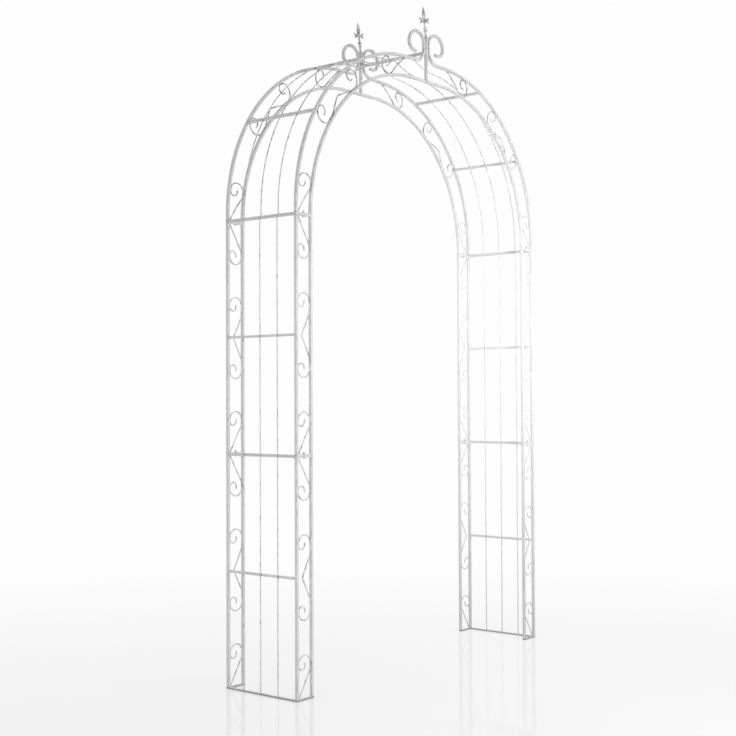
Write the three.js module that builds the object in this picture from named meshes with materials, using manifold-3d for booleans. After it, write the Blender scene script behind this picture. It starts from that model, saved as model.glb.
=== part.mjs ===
// Garden arch of welded steel: four leg sections and two arch halves, bolted together.
// Each section has a front and a back ladder (outer tube, inner rail, scrolls) and a side grid between.
// Origin: on the floor, in the middle of the walkway. X runs across the walkway, Y through it, Z up.
import * as THREE from 'three';
import { mergeVertices } from 'three/addons/utils/BufferGeometryUtils.js';
import Module from 'manifold-3d';

const wasm = await Module();
wasm.setup();

// Driving dimensions in millimetres
const barPitch = 390; // height from one cross bar to the next on a leg
const halfWidth = 707; // middle of the walkway to an outer tube's centre line
const ladderGap = 70; // outer tube's centre line to the inner tube's
const frameDepth = 309; // front frame's centre plane to the back frame's
const springRise = 27; // straight run of the arch half before its curve begins
const crownHalfRun = 109; // middle of the walkway to the top of the curve

// Tubes, bars and rods
const tubeSize = 10;
const tubeWall = 1.2;
const plateThickness = 5; // end plates and flat end bars
const crossBarThickness = 8;
const rodRadius = 2; // grid rods
const scrollRadius = 2.3; // scroll rods
const weldSink = 0.8; // how far a welded rod stands in what it is welded to
const fitGap = 0.3; // clearance between pieces that are bolted or seated together
const overrun = 1; // how far a cut runs past the face it opens

// Scrolls, measured along a ladder from the foot or from the vertex of a double scroll: to where the rod
// meets the inner tube, and to where the curl leaves it again
const legReach = { foot: 92, vertex: 72, curl: 109 };
const archReach = { foot: 86, vertex: 69, curl: 103 };
const hookRun = 3; // along the outer tube, from the curl to the hook
const tipRun = 6; // straight end of the hook
const hookShare = 0.54; // hook radius as a share of the curl radius
const legVertexShare = 0.32; // how far the vertex stands off the outer tube, as a share of the free gap
const archVertexShare = 0.6;
const scrollBend = 14; // bend radius where a scroll rod changes direction
const crownScrollInset = 129; // middle of the walkway to the foot of the crown scroll
const archVertexAngleShare = 0.5; // the double scroll's place, as a share of the quarter turn

// Arch cross bars, as shares of the quarter turn
const archBarShares = [0.364, 0.745];

// Crown: the outer tube turns up beside the post and ends in a loop
const postWidth = 10; // width of the crown strips and the tang between them
const tangThickness = 3;
const lugLength = 3.2; // from the post's side to the turned-up tube
const upturnRadius = 50;
const loopRadius = 44;
const loopEndRadius = 28;
// Each side's loops: the straight run below, the last bend in degrees, and its length with the tail after it
const loops = {
  right: { rise: 17, endTurn: 90, endLength: 63 },
  left: { rise: 12, endTurn: 74, endLength: 54 },
};
const ridgeRise = 38; // top of the outer curve to the ridge bar's centre line
const postRise = 51; // ridge bar's centre line to the top of the post

// Bolts. A head is domed: its crown's edge is given as shares of the head's radius and height.
const jointBolt = { radius: 2.5, head: 5.5, headHeight: 3.5, nutFlats: 8, nutHeight: 4, tail: 3 };
const postBolt = { radius: 1.7, head: 3.5, headHeight: 2.4, nutFlats: 6, nutHeight: 2.6, tail: 1.5 };
const headCrownShares = [0.6, 0.85];
const ridgeBoltShare = 0.32; // ridge bolt's distance from the middle, as a share of the frame depth
const postScrewInset = 8; // top of the post to the upper screw
const postBoltShare = 0.6; // lower bolt's place between the inner tube and the ridge bar

// Finial above the post
const finialLeanShare = 0.165; // how far the stem leans to the left, as a share of its height
const stemRadius = 4.2;
const barrelRadius = 4.5; // between the collars
const neckRadius = 3.7;
const collarRadius = 8;
const collarHeight = 7;
const collarHeights = [26, 38]; // top of the post to the middle of each collar
const crossHeight = 65; // top of the post to the middle of the cross
const crossHalfSpan = 29;
const crossThickness = 6;
const prongWidth = 9;
const prongRise = 7.5; // how far a prong's end stands above or below the cross's middle
const forkShare = 0.45; // where an arm of the cross forks, as a share of its span
const lowerProngShare = 0.88; // the lower prong's reach, as a share of the upper one's
const spearLength = 50; // above the cross's middle
const spearWidth = 18.5;
const spearTipWidth = 4.6;
const spearWidestShare = 0.3; // height of the widest place, as a share of the spearhead's length
const finialBlockHeight = 4;

// Leg sections from the floor up, and the cross bar pitches in each
const levels = ['lower', 'upper'];
const pitchesPerSection = 2;

// Facets
const rodSides = 5;
const boltSides = 8;
const nutSides = 6;
const spearSides = 4;
const archSteps = 15;
const curlSteps = 5;
const hookSteps = 3;
const upturnSteps = 4;
const loopSteps = 8;
const loopEndSteps = 3;

// Worked out from the driving dimensions
const tubeHalf = tubeSize / 2;
const postHalf = postWidth / 2;
const sectionPitch = pitchesPerSection * barPitch;
const sectionLength = sectionPitch - fitGap;
const springHeight = levels.length * sectionPitch;
const archBase = springHeight + springRise;
const archRadius = halfWidth - crownHalfRun;
const archMiddleRadius = archRadius - ladderGap / 2;
const quarterTurn = Math.PI / 2;
const archSag = archRadius * (1 - Math.cos(quarterTurn / archSteps / 2));
const outerTop = archBase + archRadius;
const innerTop = outerTop - ladderGap;
const railRadius = innerTop - springHeight - plateThickness;
const railCentre = [halfWidth - ladderGap - railRadius, springHeight + plateThickness];
const ridgeHeight = outerTop + ridgeRise;
const postTop = ridgeHeight + postRise;
const postBottom = innerTop - tubeHalf;
const postHoleHeights = [
  innerTop + (ridgeHeight - innerTop) * postBoltShare,
  postTop - postScrewInset,
];
const upturnX = postHalf + lugLength + fitGap + tubeHalf;
const stripThickness = (tubeSize - tangThickness) / 2 - fitGap;
const barSpan = frameDepth - tubeSize - 2 * fitGap;
const rodOffset = tubeHalf + rodRadius - weldSink;
const rodPlaces = [-1, 0, 1].map((i) => (i * frameDepth) / 4);
const ridgeBoltPlace = ridgeBoltShare * frameDepth;

const paint = new THREE.MeshStandardMaterial({ color: 0xd8d5ce, roughness: 0.75, metalness: 0.1 });
const innerPaint = new THREE.MeshStandardMaterial({ color: 0xdedbd4, roughness: 0.75, metalness: 0.1 });
const gridPaint = new THREE.MeshStandardMaterial({ color: 0xcfccc5, roughness: 0.8, metalness: 0.1 });
const steel = new THREE.MeshStandardMaterial({ color: 0x8d8a85, roughness: 0.55, metalness: 0.6 });

// A bent centre line whose sections stand exactly on its own stations.
class StationPath extends THREE.Curve {
  constructor(stations) {
    super();
    this.stations = stations;
    const runs = stations.slice(1).map((p, i) => p.clone().sub(stations[i]).normalize());
    this.tangents = stations.map((p, i) => {
      const before = runs[Math.max(i - 1, 0)];
      const after = runs[Math.min(i, runs.length - 1)];
      return before.clone().add(after).normalize();
    });
  }

  getPoint(t, target = new THREE.Vector3()) {
    return target.copy(this.stations[Math.round(t * (this.stations.length - 1))]);
  }

  getPointAt(u, target) {
    return this.getPoint(u, target);
  }

  getTangentAt(u, target = new THREE.Vector3()) {
    return target.copy(this.tangents[Math.round(u * (this.stations.length - 1))]);
  }

  getSpacedPoints(divisions) {
    return this.getPoints(divisions);
  }
}

// Sections
function squareSection(size) {
  const half = size / 2;
  const corners = [[-half, -half], [half, -half], [half, half], [-half, half]];
  return new THREE.Shape(corners.map(([x, y]) => new THREE.Vector2(x, y)));
}

function polygon(radius, sides, PathClass = THREE.Shape) {
  const turn = (2 * Math.PI) / sides;
  const corners = Array.from({ length: sides }, (_, i) => (i + 0.5) * turn);
  return new PathClass(corners.map((a) => new THREE.Vector2(radius * Math.cos(a), radius * Math.sin(a))));
}

// Solids
function toSolid(geometry) {
  const bare = geometry.clone();
  bare.deleteAttribute('normal');
  bare.deleteAttribute('uv');
  const merged = mergeVertices(bare);
  const index = Array.from(merged.index.array);
  const faces = [];
  for (let i = 0; i < index.length; i += 3) {
    const [a, b, c] = index.slice(i, i + 3);
    if (a !== b && b !== c && c !== a) faces.push(a, b, c);
  }
  return new wasm.Manifold(new wasm.Mesh({
    numProp: 3,
    vertProperties: new Float32Array(merged.attributes.position.array),
    triVerts: new Uint32Array(faces),
  }));
}

function toGeometry(solid) {
  const mesh = solid.getMesh();
  const geometry = new THREE.BufferGeometry();
  geometry.setAttribute('position', new THREE.BufferAttribute(mesh.vertProperties, 3));
  geometry.setIndex(new THREE.BufferAttribute(mesh.triVerts, 1));
  geometry.computeVertexNormals();
  return geometry;
}

const join = (solids) => solids.reduce((whole, solid) => whole.add(solid));

function sweep(section, stations) {
  const path = new StationPath(stations);
  const steps = stations.length - 1;
  return toSolid(new THREE.ExtrudeGeometry(section, { steps, extrudePath: path, bevelEnabled: false }));
}

// A box between two corners
function block(low, high) {
  const size = high.map((value, i) => value - low[i]);
  const middle = high.map((value, i) => (value + low[i]) / 2);
  return toSolid(new THREE.BoxGeometry(...size).translate(...middle));
}

function upright(radius, sides, x, y, low, high) {
  const section = polygon(radius, sides);
  const geometry = new THREE.ExtrudeGeometry(section, { depth: high - low, bevelEnabled: false });
  return toSolid(geometry.translate(x, y, low));
}

const clearRadius = (bolt) => (bolt.radius + fitGap) / Math.cos(Math.PI / boltSides);

// What a bolt's hole cuts from material of this thickness, along Z and centred on the origin
function holeCutter(bolt, thickness) {
  const depth = thickness + 2 * overrun;
  const section = polygon(clearRadius(bolt), boltSides);
  return new THREE.ExtrudeGeometry(section, { depth, bevelEnabled: false }).translate(0, 0, -depth / 2);
}

const drill = (solid, cutters) => cutters.reduce((left, cutter) => left.subtract(toSolid(cutter)), solid);

// Points round an arc in a plane, both ends included, for angles in radians
function arcPoints(centre, radius, from, to, steps) {
  return Array.from({ length: steps + 1 }, (_, i) => {
    const angle = from + ((to - from) * i) / steps;
    return [centre[0] + radius * Math.cos(angle), centre[1] + radius * Math.sin(angle)];
  });
}

// The two points where a bend of this radius leaves the straight runs on each side of a corner
function bend(before, corner, after, radius) {
  const unit = (p) => {
    const length = Math.hypot(p[0] - corner[0], p[1] - corner[1]);
    return [(p[0] - corner[0]) / length, (p[1] - corner[1]) / length];
  };
  const [u, v] = [unit(before), unit(after)];
  const half = Math.acos(u[0] * v[0] + u[1] * v[1]) / 2;
  const setback = radius / Math.tan(half);
  return [u, v].map((way) => [corner[0] + way[0] * setback, corner[1] + way[1] * setback]);
}

// A scroll's curl and hook in ladder coordinates: along the ladder, and across it from the outer tube.
// The rod arrives along the inner tube, curls over to the outer tube and hooks back to the middle.
function curl(start, tubeLine, railLine) {
  const radius = (railLine - tubeLine) / 2;
  const hook = radius * hookShare;
  const turn = start - hookRun;
  const over = arcPoints([start, railLine - radius], radius, quarterTurn, -quarterTurn, curlSteps);
  const back = arcPoints([turn, tubeLine + hook], hook, -quarterTurn, -3 * quarterTurn, hookSteps);
  const tip = [turn + tipRun, tubeLine + 2 * hook];
  return [...over, ...back, tip];
}

function halfScroll(foot, reach, tubeLine, railLine) {
  const touch = [foot[0] + reach.foot, railLine];
  const start = [foot[0] + reach.curl, railLine];
  return [foot, ...bend(foot, touch, start, scrollBend), ...curl(start[0], tubeLine, railLine)];
}

function doubleScroll(middle, reach, vertexShare, tubeLine, railLine) {
  const vertex = [middle, tubeLine + (railLine - tubeLine) * vertexShare];
  const arm = (way) => {
    const touch = [middle + way * reach.vertex, railLine];
    const start = [middle + way * reach.curl, railLine];
    const end = curl(reach.curl, tubeLine, railLine).map(([a, c]) => [middle + way * a, c]);
    return [...bend(vertex, touch, start, scrollBend), ...end];
  };
  const [down, up] = [arm(-1), arm(1)];
  return [...down.toReversed(), ...bend(down[0], vertex, up[0], scrollBend), ...up];
}

// Where the scroll rods run: clear of the outer tube, and sunk in the inner tube for their welds
const tubeLine = tubeHalf + fitGap + scrollRadius;
const railLine = ladderGap - tubeHalf - scrollRadius + weldSink;

// The gap of an arch ladder: the inner tube's curve starts lower and is flatter, so it is widest half way
function archGap(turned) {
  const [c, s] = [Math.cos(turned), Math.sin(turned)];
  const [dx, dz] = [railCentre[0] - crownHalfRun, railCentre[1] - archBase];
  const lead = dx * c + dz * s;
  return archRadius - lead - Math.sqrt(lead * lead - dx * dx - dz * dz + railRadius * railRadius);
}

// Ladder coordinates to a point in the frame plane, on a leg and on an arch half. What the arch's gap has
// over the leg's falls between the two lines that the scroll rods follow.
const legPoint = ([along, across]) => new THREE.Vector3(halfWidth - across, 0, along);

function archPoint([along, across]) {
  const turned = Math.max(along - springRise, 0) / archMiddleRadius;
  const share = (across - tubeLine) / (railLine - tubeLine);
  const radius = archRadius - across - (archGap(turned) - ladderGap) * share;
  const base = springHeight + Math.min(along, springRise);
  return new THREE.Vector3(crownHalfRun + radius * Math.cos(turned), 0, base + radius * Math.sin(turned));
}

const planePoint = ([x, z]) => new THREE.Vector3(x, 0, z);

// The end plate under or over both tubes of a ladder, with the bolt's hole half way between them
function endPlate(low) {
  const plate = block(
    [halfWidth - ladderGap - tubeHalf, -tubeHalf, low],
    [halfWidth + tubeHalf, tubeHalf, low + plateThickness],
  );
  const hole = holeCutter(jointBolt, plateThickness);
  return drill(plate, [hole.translate(halfWidth - ladderGap / 2, 0, low + plateThickness / 2)]);
}

function legOuterTube() {
  const foot = plateThickness + fitGap;
  const run = [legPoint([foot, 0]), legPoint([sectionLength - foot, 0])];
  const cut = [legPoint([foot - overrun, 0]), legPoint([sectionLength - foot + overrun, 0])];
  return sweep(squareSection(tubeSize), run).subtract(sweep(squareSection(tubeSize - 2 * tubeWall), cut));
}

function legInnerRail() {
  const top = sectionLength - plateThickness;
  const run = [legPoint([0, ladderGap]), legPoint([sectionLength, ladderGap])];
  const cut = [legPoint([-overrun, ladderGap]), legPoint([sectionLength + overrun, ladderGap])];
  const foot = [plateThickness / 2, tubeLine];
  const lowScroll = halfScroll(foot, legReach, tubeLine, railLine);
  const highScroll = lowScroll.map(([along, across]) => [sectionLength - along, across]);
  const midScroll = doubleScroll(sectionLength / 2, legReach, legVertexShare, tubeLine, railLine);
  const rods = [lowScroll, highScroll, midScroll].map((points) =>
    sweep(polygon(scrollRadius, rodSides), points.map(legPoint)));
  const whole = join([sweep(squareSection(tubeSize), run), endPlate(0), endPlate(top), ...rods]);
  return whole.subtract(sweep(squareSection(tubeSize - 2 * tubeWall), cut));
}

// A bar from the front frame to the back frame, between two heights
function crossBar(low, high) {
  return block([halfWidth - tubeHalf, -barSpan / 2, low], [halfWidth + tubeHalf, barSpan / 2, high]);
}

function legGrid() {
  const middle = barPitch;
  const bars = [
    crossBar(0, plateThickness),
    crossBar(middle - crossBarThickness / 2, middle + crossBarThickness / 2),
    crossBar(sectionLength - plateThickness, sectionLength),
  ];
  const rods = rodPlaces.map((y) =>
    upright(rodRadius, rodSides, halfWidth + rodOffset, y, 0, sectionLength));
  return join([...bars, ...rods]);
}

// The outer line of the arch: up, round the quarter turn, along, up beside the post and over in a loop
function archOuterLine(start, side) {
  const loop = loops[side];
  const loopHeight = outerTop + upturnRadius + loop.rise;
  const endTurn = THREE.MathUtils.degToRad(loop.endTurn);
  const tail = loop.endLength - loopEndRadius * endTurn;
  const loopCentre = [upturnX + loopRadius, loopHeight];
  const endCentre = [upturnX + 2 * loopRadius - loopEndRadius, loopHeight];
  const turnCentre = [upturnX + upturnRadius, outerTop + upturnRadius];
  const endBend = arcPoints(endCentre, loopEndRadius, 0, -endTurn, loopEndSteps).slice(1);
  const [endX, endZ] = endBend[endBend.length - 1];
  return [
    [halfWidth, start],
    ...arcPoints([crownHalfRun, archBase], archRadius, 0, quarterTurn, archSteps),
    ...arcPoints(turnCentre, upturnRadius, -quarterTurn, -2 * quarterTurn, upturnSteps),
    ...arcPoints(loopCentre, loopRadius, 2 * quarterTurn, 0, loopSteps),
    ...endBend,
    [endX - tail * Math.sin(endTurn), endZ - tail * Math.cos(endTurn)],
  ].map(planePoint);
}

// The first and last points moved outwards along the line, so that a bore opens both ends
function lengthened(stations) {
  const ends = [stations[0], stations[stations.length - 1]];
  const nexts = [stations[1], stations[stations.length - 2]];
  const [first, last] = ends.map((end, i) => {
    const outward = end.clone().sub(nexts[i]).setLength(overrun);
    return end.clone().add(outward);
  });
  return [first, ...stations.slice(1, -1), last];
}

function archOuterTube(side) {
  const line = archOuterLine(springHeight + plateThickness + fitGap, side);
  const bore = sweep(squareSection(tubeSize - 2 * tubeWall), lengthened(line));
  return sweep(squareSection(tubeSize), line).subtract(bore);
}

// The holes through every layer of a post, front to back
function postHoles(thickness) {
  return postHoleHeights.map((height) =>
    holeCutter(postBolt, thickness).rotateX(quarterTurn).translate(0, 0, height));
}

// The crown strip is one layer of the post, on the front or the back of the finial's tang.
// A tab joins it to the inner tube's end, and a lug reaches to the turned-up outer tube.
function crownStrip(layer) {
  const inner = tangThickness / 2 + fitGap;
  const [near, far] = layer > 0 ? [inner, inner + stripThickness] : [-inner - stripThickness, -inner];
  const strip = block([-postHalf, near, postBottom], [postHalf, far, postTop]);
  const tabEnd = postHalf + fitGap + weldSink;
  const tab = block([0, near, postBottom], [tabEnd, far, innerTop + tubeHalf]);
  const lug = block([0, near, ridgeHeight - tubeHalf], [postHalf + lugLength, far, ridgeHeight + tubeHalf]);
  return drill(join([strip, tab, lug]), postHoles(tubeSize));
}

function archInnerRail(layer) {
  const curve = arcPoints(railCentre, railRadius, 0, quarterTurn, archSteps);
  const foot = [halfWidth - ladderGap, springHeight];
  const line = [foot, ...curve, [postHalf + fitGap, innerTop]].map(planePoint);
  const bore = [[foot[0], foot[1] - overrun], ...curve, [postHalf + fitGap / 2, innerTop]].map(planePoint);
  const [near, far] = [tubeLine + archSag, railLine + archSag];
  const quarter = springRise + archMiddleRadius * quarterTurn;
  const crownFoot = quarter + crownHalfRun - crownScrollInset;
  const spring = halfScroll([plateThickness / 2, near], archReach, near, far);
  const middle = springRise + archMiddleRadius * quarterTurn * archVertexAngleShare;
  const double = doubleScroll(middle, archReach, archVertexShare, near, far);
  const fromCrown = halfScroll([0, near], archReach, near, far);
  const crown = fromCrown.map(([along, across]) => [crownFoot - along, across]);
  const rods = [spring, double, crown].map((points) =>
    sweep(polygon(scrollRadius, rodSides), points.map(archPoint)));
  const tube = sweep(squareSection(tubeSize), line);
  const plate = endPlate(springHeight);
  return join([tube, plate, crownStrip(layer), ...rods])
    .subtract(sweep(squareSection(tubeSize - 2 * tubeWall), bore));
}

function archGrid() {
  const tilted = archBarShares.map((share) => {
    const bar = new THREE.BoxGeometry(tubeSize, barSpan, crossBarThickness).translate(archRadius, 0, 0);
    return toSolid(bar.rotateY(-share * quarterTurn).translate(crownHalfRun, 0, archBase));
  });
  const ridge = block(
    [fitGap / 2, -barSpan / 2, ridgeHeight - tubeHalf],
    [fitGap / 2 + plateThickness, barSpan / 2, ridgeHeight + tubeHalf],
  );
  const ridgeMiddle = (fitGap + plateThickness) / 2;
  const holes = [-1, 1].map((side) => holeCutter(jointBolt, plateThickness)
    .rotateY(quarterTurn).translate(ridgeMiddle, side * ridgeBoltPlace, ridgeHeight));
  const line = [
    [halfWidth, springHeight + plateThickness / 2],
    ...arcPoints([crownHalfRun, archBase], archRadius, 0, quarterTurn, archSteps),
    [fitGap / 2 + plateThickness - weldSink, ridgeHeight],
  ].map(planePoint);
  const rods = rodPlaces.map((y) =>
    sweep(polygon(rodRadius, rodSides), line.map((p) => p.clone().setY(y))));
  const springBar = crossBar(springHeight, springHeight + plateThickness);
  return join([springBar, ...tilted, drill(ridge, holes), ...rods]);
}

// Fasteners stand along Z, head below, with the head's seat at zero. The grip runs to the nut's face.
function boltSolid(bolt, grip, nutted) {
  const shank = grip + (nutted ? bolt.nutHeight + bolt.tail : 0);
  const [crownShare, crownHeightShare] = headCrownShares;
  const profile = [
    [0, -bolt.headHeight],
    [bolt.head * crownShare, -bolt.headHeight * crownHeightShare],
    [bolt.head, 0],
    [bolt.radius, 0],
    [bolt.radius, shank],
    [0, shank],
  ].map(([r, h]) => new THREE.Vector2(r, h));
  return toSolid(new THREE.LatheGeometry(profile, boltSides).rotateX(quarterTurn));
}

function nutSolid(bolt) {
  const shape = polygon(bolt.nutFlats / 2 / Math.cos(Math.PI / nutSides), nutSides);
  shape.holes.push(polygon(clearRadius(bolt), boltSides, THREE.Path));
  return toSolid(new THREE.ExtrudeGeometry(shape, { depth: bolt.nutHeight, bevelEnabled: false }));
}

// Finial: a flat tang between the crown strips, a stem with two collars, a cross and a spearhead
function finialSolid() {
  const seat = postTop + fitGap;
  const capMiddle = seat + finialBlockHeight / 2;
  const cap = block([-postHalf, -tubeHalf, seat], [postHalf, tubeHalf, seat + finialBlockHeight]);
  const tang = block([-postHalf, -tangThickness / 2, postBottom], [postHalf, tangThickness / 2, capMiddle]);
  const [low, high] = collarHeights;
  const half = collarHeight / 2;
  const profile = [
    [0, finialBlockHeight / 2], [stemRadius, finialBlockHeight / 2], [stemRadius, low - half],
    [collarRadius, low], [barrelRadius, low + half], [barrelRadius, high - half], [collarRadius, high],
    [neckRadius, high + half], [neckRadius, crossHeight], [0, crossHeight],
  ].map(([r, h]) => new THREE.Vector2(r, postTop + h));
  const stem = toSolid(new THREE.LatheGeometry(profile, boltSides).rotateX(quarterTurn));
  const tipHeight = crossHeight + spearLength;
  const widest = crossHeight + spearLength * spearWidestShare;
  const spearProfile = [
    [0, crossHeight - prongWidth / 2], [neckRadius, crossHeight - prongWidth / 2],
    [spearWidth / 2, widest], [spearTipWidth / 2, tipHeight], [0, tipHeight],
  ].map(([r, h]) => new THREE.Vector2(r, postTop + h));
  const spear = toSolid(new THREE.LatheGeometry(spearProfile, spearSides).rotateX(quarterTurn));
  const lean = THREE.MathUtils.radToDeg(Math.atan(finialLeanShare));
  const leaning = join([stem, spear, ...[-1, 1].map(crossArm)])
    .translate(0, 0, -capMiddle).rotate(0, -lean, 0).translate(0, 0, capMiddle);
  return join([drill(tang, postHoles(tangThickness)), cap, leaning]);
}

// One arm of the cross: a short bar that forks into an upper and a lower prong
function crossArm(side) {
  const half = prongWidth / 2;
  const fork = crossHalfSpan * forkShare;
  const lowerTip = crossHalfSpan * lowerProngShare;
  const outline = [
    [0, -half], [fork, -half], [lowerTip - prongWidth, -prongRise - half], [lowerTip, -prongRise],
    [fork + prongWidth, 0], [crossHalfSpan, prongRise - half], [crossHalfSpan - half, prongRise + half],
    [fork, half], [0, half],
  ];
  const shape = new THREE.Shape(outline.map(([x, z]) => new THREE.Vector2(x, z)));
  const arm = new THREE.ExtrudeGeometry(shape, { depth: crossThickness, bevelEnabled: false });
  const turned = arm.translate(0, 0, -crossThickness / 2).rotateX(quarterTurn);
  return toSolid(turned.rotateZ(side > 0 ? 0 : Math.PI).translate(0, 0, postTop + crossHeight));
}

// Assembly. The left side is the right side turned half round, apart from its loops.
const group = new THREE.Group();
const halves = [
  { side: 'right', turn: 0, sign: 1 },
  { side: 'left', turn: Math.PI, sign: -1 },
];
const frames = [
  { frame: 'front', sign: -1 },
  { frame: 'back', sign: 1 },
];

function add(name, geometry, material, place = [0, 0, 0], turn = [0, 0, 0]) {
  const mesh = new THREE.Mesh(geometry, material);
  mesh.name = name;
  mesh.position.set(...place);
  mesh.rotation.set(...turn);
  group.add(mesh);
}

const legTube = toGeometry(legOuterTube());
const legRail = toGeometry(legInnerRail());
const legSideGrid = toGeometry(legGrid());
const archSideGrid = toGeometry(archGrid());
const archRails = { 1: toGeometry(archInnerRail(1)), [-1]: toGeometry(archInnerRail(-1)) };

for (const { side, turn, sign } of halves) {
  const archTube = toGeometry(archOuterTube(side));
  for (const { frame, sign: depthSign } of frames) {
    const y = (depthSign * frameDepth) / 2;
    levels.forEach((level, i) => {
      const place = [0, y, i * sectionPitch];
      add(`${side}_${frame}_${level}_outer_tube`, legTube, paint, place, [0, 0, turn]);
      add(`${side}_${frame}_${level}_inner_rail`, legRail, innerPaint, place, [0, 0, turn]);
    });
    add(`${side}_${frame}_arch_outer_tube`, archTube, paint, [0, y, 0], [0, 0, turn]);
    // The left half's strip is the outer layer of each post, and the right half's the inner one
    const outward = depthSign * (sign < 0 ? 1 : -1);
    add(`${side}_${frame}_arch_inner_rail`, archRails[outward * sign], innerPaint, [0, y, 0], [0, 0, turn]);
  }
  levels.forEach((level, i) => {
    add(`${side}_${level}_side_grid`, legSideGrid, gridPaint, [0, 0, i * sectionPitch], [0, 0, turn]);
  });
  add(`${side}_arch_grid`, archSideGrid, gridPaint, [0, 0, 0], [0, 0, turn]);
}

// Joint bolts: head under the lower plate, nut on the upper plate
const jointGrip = 2 * plateThickness + 3 * fitGap;
const jointBoltShape = toGeometry(boltSolid(jointBolt, jointGrip, true));
const jointNutShape = toGeometry(nutSolid(jointBolt));
const jointNames = ['mid_joint', 'spring_joint'];
for (const { side, sign } of halves) {
  for (const { frame, sign: depthSign } of frames) {
    jointNames.forEach((joint, i) => {
      const x = sign * (halfWidth - ladderGap / 2);
      const y = (depthSign * frameDepth) / 2;
      const upperFace = (i + 1) * sectionPitch + plateThickness + fitGap;
      add(`${side}_${frame}_${joint}_bolt`, jointBoltShape, steel, [x, y, upperFace - jointGrip]);
      add(`${side}_${frame}_${joint}_nut`, jointNutShape, steel, [x, y, upperFace]);
    });
  }
}

// Post bolts and screws: heads on the outer face of each post
const postBoltShape = toGeometry(boltSolid(postBolt, tubeSize + 2 * fitGap, true));
const postScrewShape = toGeometry(boltSolid(postBolt, tubeSize + fitGap, false));
const postNutShape = toGeometry(nutSolid(postBolt));
for (const { frame, sign } of frames) {
  const y = (sign * frameDepth) / 2;
  const seat = y + sign * (tubeHalf + fitGap);
  const turn = [sign * quarterTurn, 0, 0];
  const nutSeat = y - sign * (tubeHalf + fitGap);
  add(`${frame}_post_bolt`, postBoltShape, steel, [0, seat, postHoleHeights[0]], turn);
  add(`${frame}_post_nut`, postNutShape, steel, [0, nutSeat, postHoleHeights[0]], turn);
  add(`${frame}_post_screw`, postScrewShape, steel, [0, seat, postHoleHeights[1]], turn);
}

// Ridge bolts: across the two ridge bars, heads on the left
const ridgeFace = fitGap / 2 + plateThickness + fitGap;
const ridgeBoltShape = toGeometry(boltSolid(jointBolt, 2 * ridgeFace, true));
for (const { frame, sign } of frames) {
  const y = sign * ridgeBoltPlace;
  add(`${frame}_ridge_bolt`, ridgeBoltShape, steel, [-ridgeFace, y, ridgeHeight], [0, quarterTurn, 0]);
  add(`${frame}_ridge_nut`, jointNutShape, steel, [ridgeFace, y, ridgeHeight], [0, quarterTurn, 0]);
}

const finialShape = toGeometry(finialSolid());
for (const { frame, sign } of frames) {
  add(`${frame}_finial`, finialShape, paint, [0, (sign * frameDepth) / 2, 0]);
}

export default group;
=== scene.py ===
"""Garden arch of welded steel in worn antique white paint, with looped crown ends and a finial on each frame.

Sizes are in metres. X runs across the walkway, Y through it from the front frame to the back one, and Z up. Each
piece is modelled once on the right-hand side, in the plane y = 0, and copied to its places. The left side is the
right side turned half round.
"""

from __future__ import annotations

import logging
import math
from collections.abc import Callable, Iterable, Sequence
from dataclasses import dataclass
from enum import Enum
from functools import cache
from itertools import product

import bmesh
import bpy
from mathutils import Matrix, Vector


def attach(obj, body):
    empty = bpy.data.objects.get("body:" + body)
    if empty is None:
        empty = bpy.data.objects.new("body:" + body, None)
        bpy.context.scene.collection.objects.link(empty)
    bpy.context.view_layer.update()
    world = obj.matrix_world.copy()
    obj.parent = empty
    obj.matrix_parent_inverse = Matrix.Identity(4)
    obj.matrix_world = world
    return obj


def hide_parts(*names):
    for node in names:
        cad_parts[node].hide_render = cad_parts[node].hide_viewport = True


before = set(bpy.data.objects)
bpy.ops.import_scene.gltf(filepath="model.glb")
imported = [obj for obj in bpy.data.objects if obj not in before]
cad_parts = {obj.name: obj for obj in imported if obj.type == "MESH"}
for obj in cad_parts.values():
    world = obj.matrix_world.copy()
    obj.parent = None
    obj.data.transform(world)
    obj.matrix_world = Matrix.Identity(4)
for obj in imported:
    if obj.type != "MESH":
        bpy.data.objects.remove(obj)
log = logging.getLogger("garden_arch")

Object = bpy.types.Object
Socket = bpy.types.NodeSocket
Flat = tuple[float, float]
Triple = tuple[float, float, float]
Places = list[tuple[str, Matrix]]

QUARTER = math.pi / 2
SMOOTH_TURN = math.radians(40)
UPRIGHT = (0, 0, 0)
BODY = "root"


class Slot(Enum):
    """The record's material slots."""

    PAINTED = "painted_steel"
    FASTENER = "fastener_steel"


class Place(Enum):
    """A place about the walkway, with the sign of its axis."""

    @property
    def label(self) -> str:
        """The place's name in the nodes' names."""
        return self.name.lower()


class Side(Place):
    """A side of the walkway, with the sign of X."""

    RIGHT = 1
    LEFT = -1

    def move(self, y: float = 0.0, z: float = 0.0) -> Matrix:
        """Gives the move from the right-hand pattern to this side, a depth and a height."""
        turn = math.pi if self is Side.LEFT else 0.0
        return Matrix.Translation((0, y, z)) @ Matrix.Rotation(turn, 4, "Z")


class Frame(Place):
    """The front frame or the back one, with the sign of Y."""

    FRONT = -1
    BACK = 1

    @property
    def y(self) -> float:
        """The place of the frame's plane."""
        return self.value * PLAN.frame_depth / 2


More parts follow.
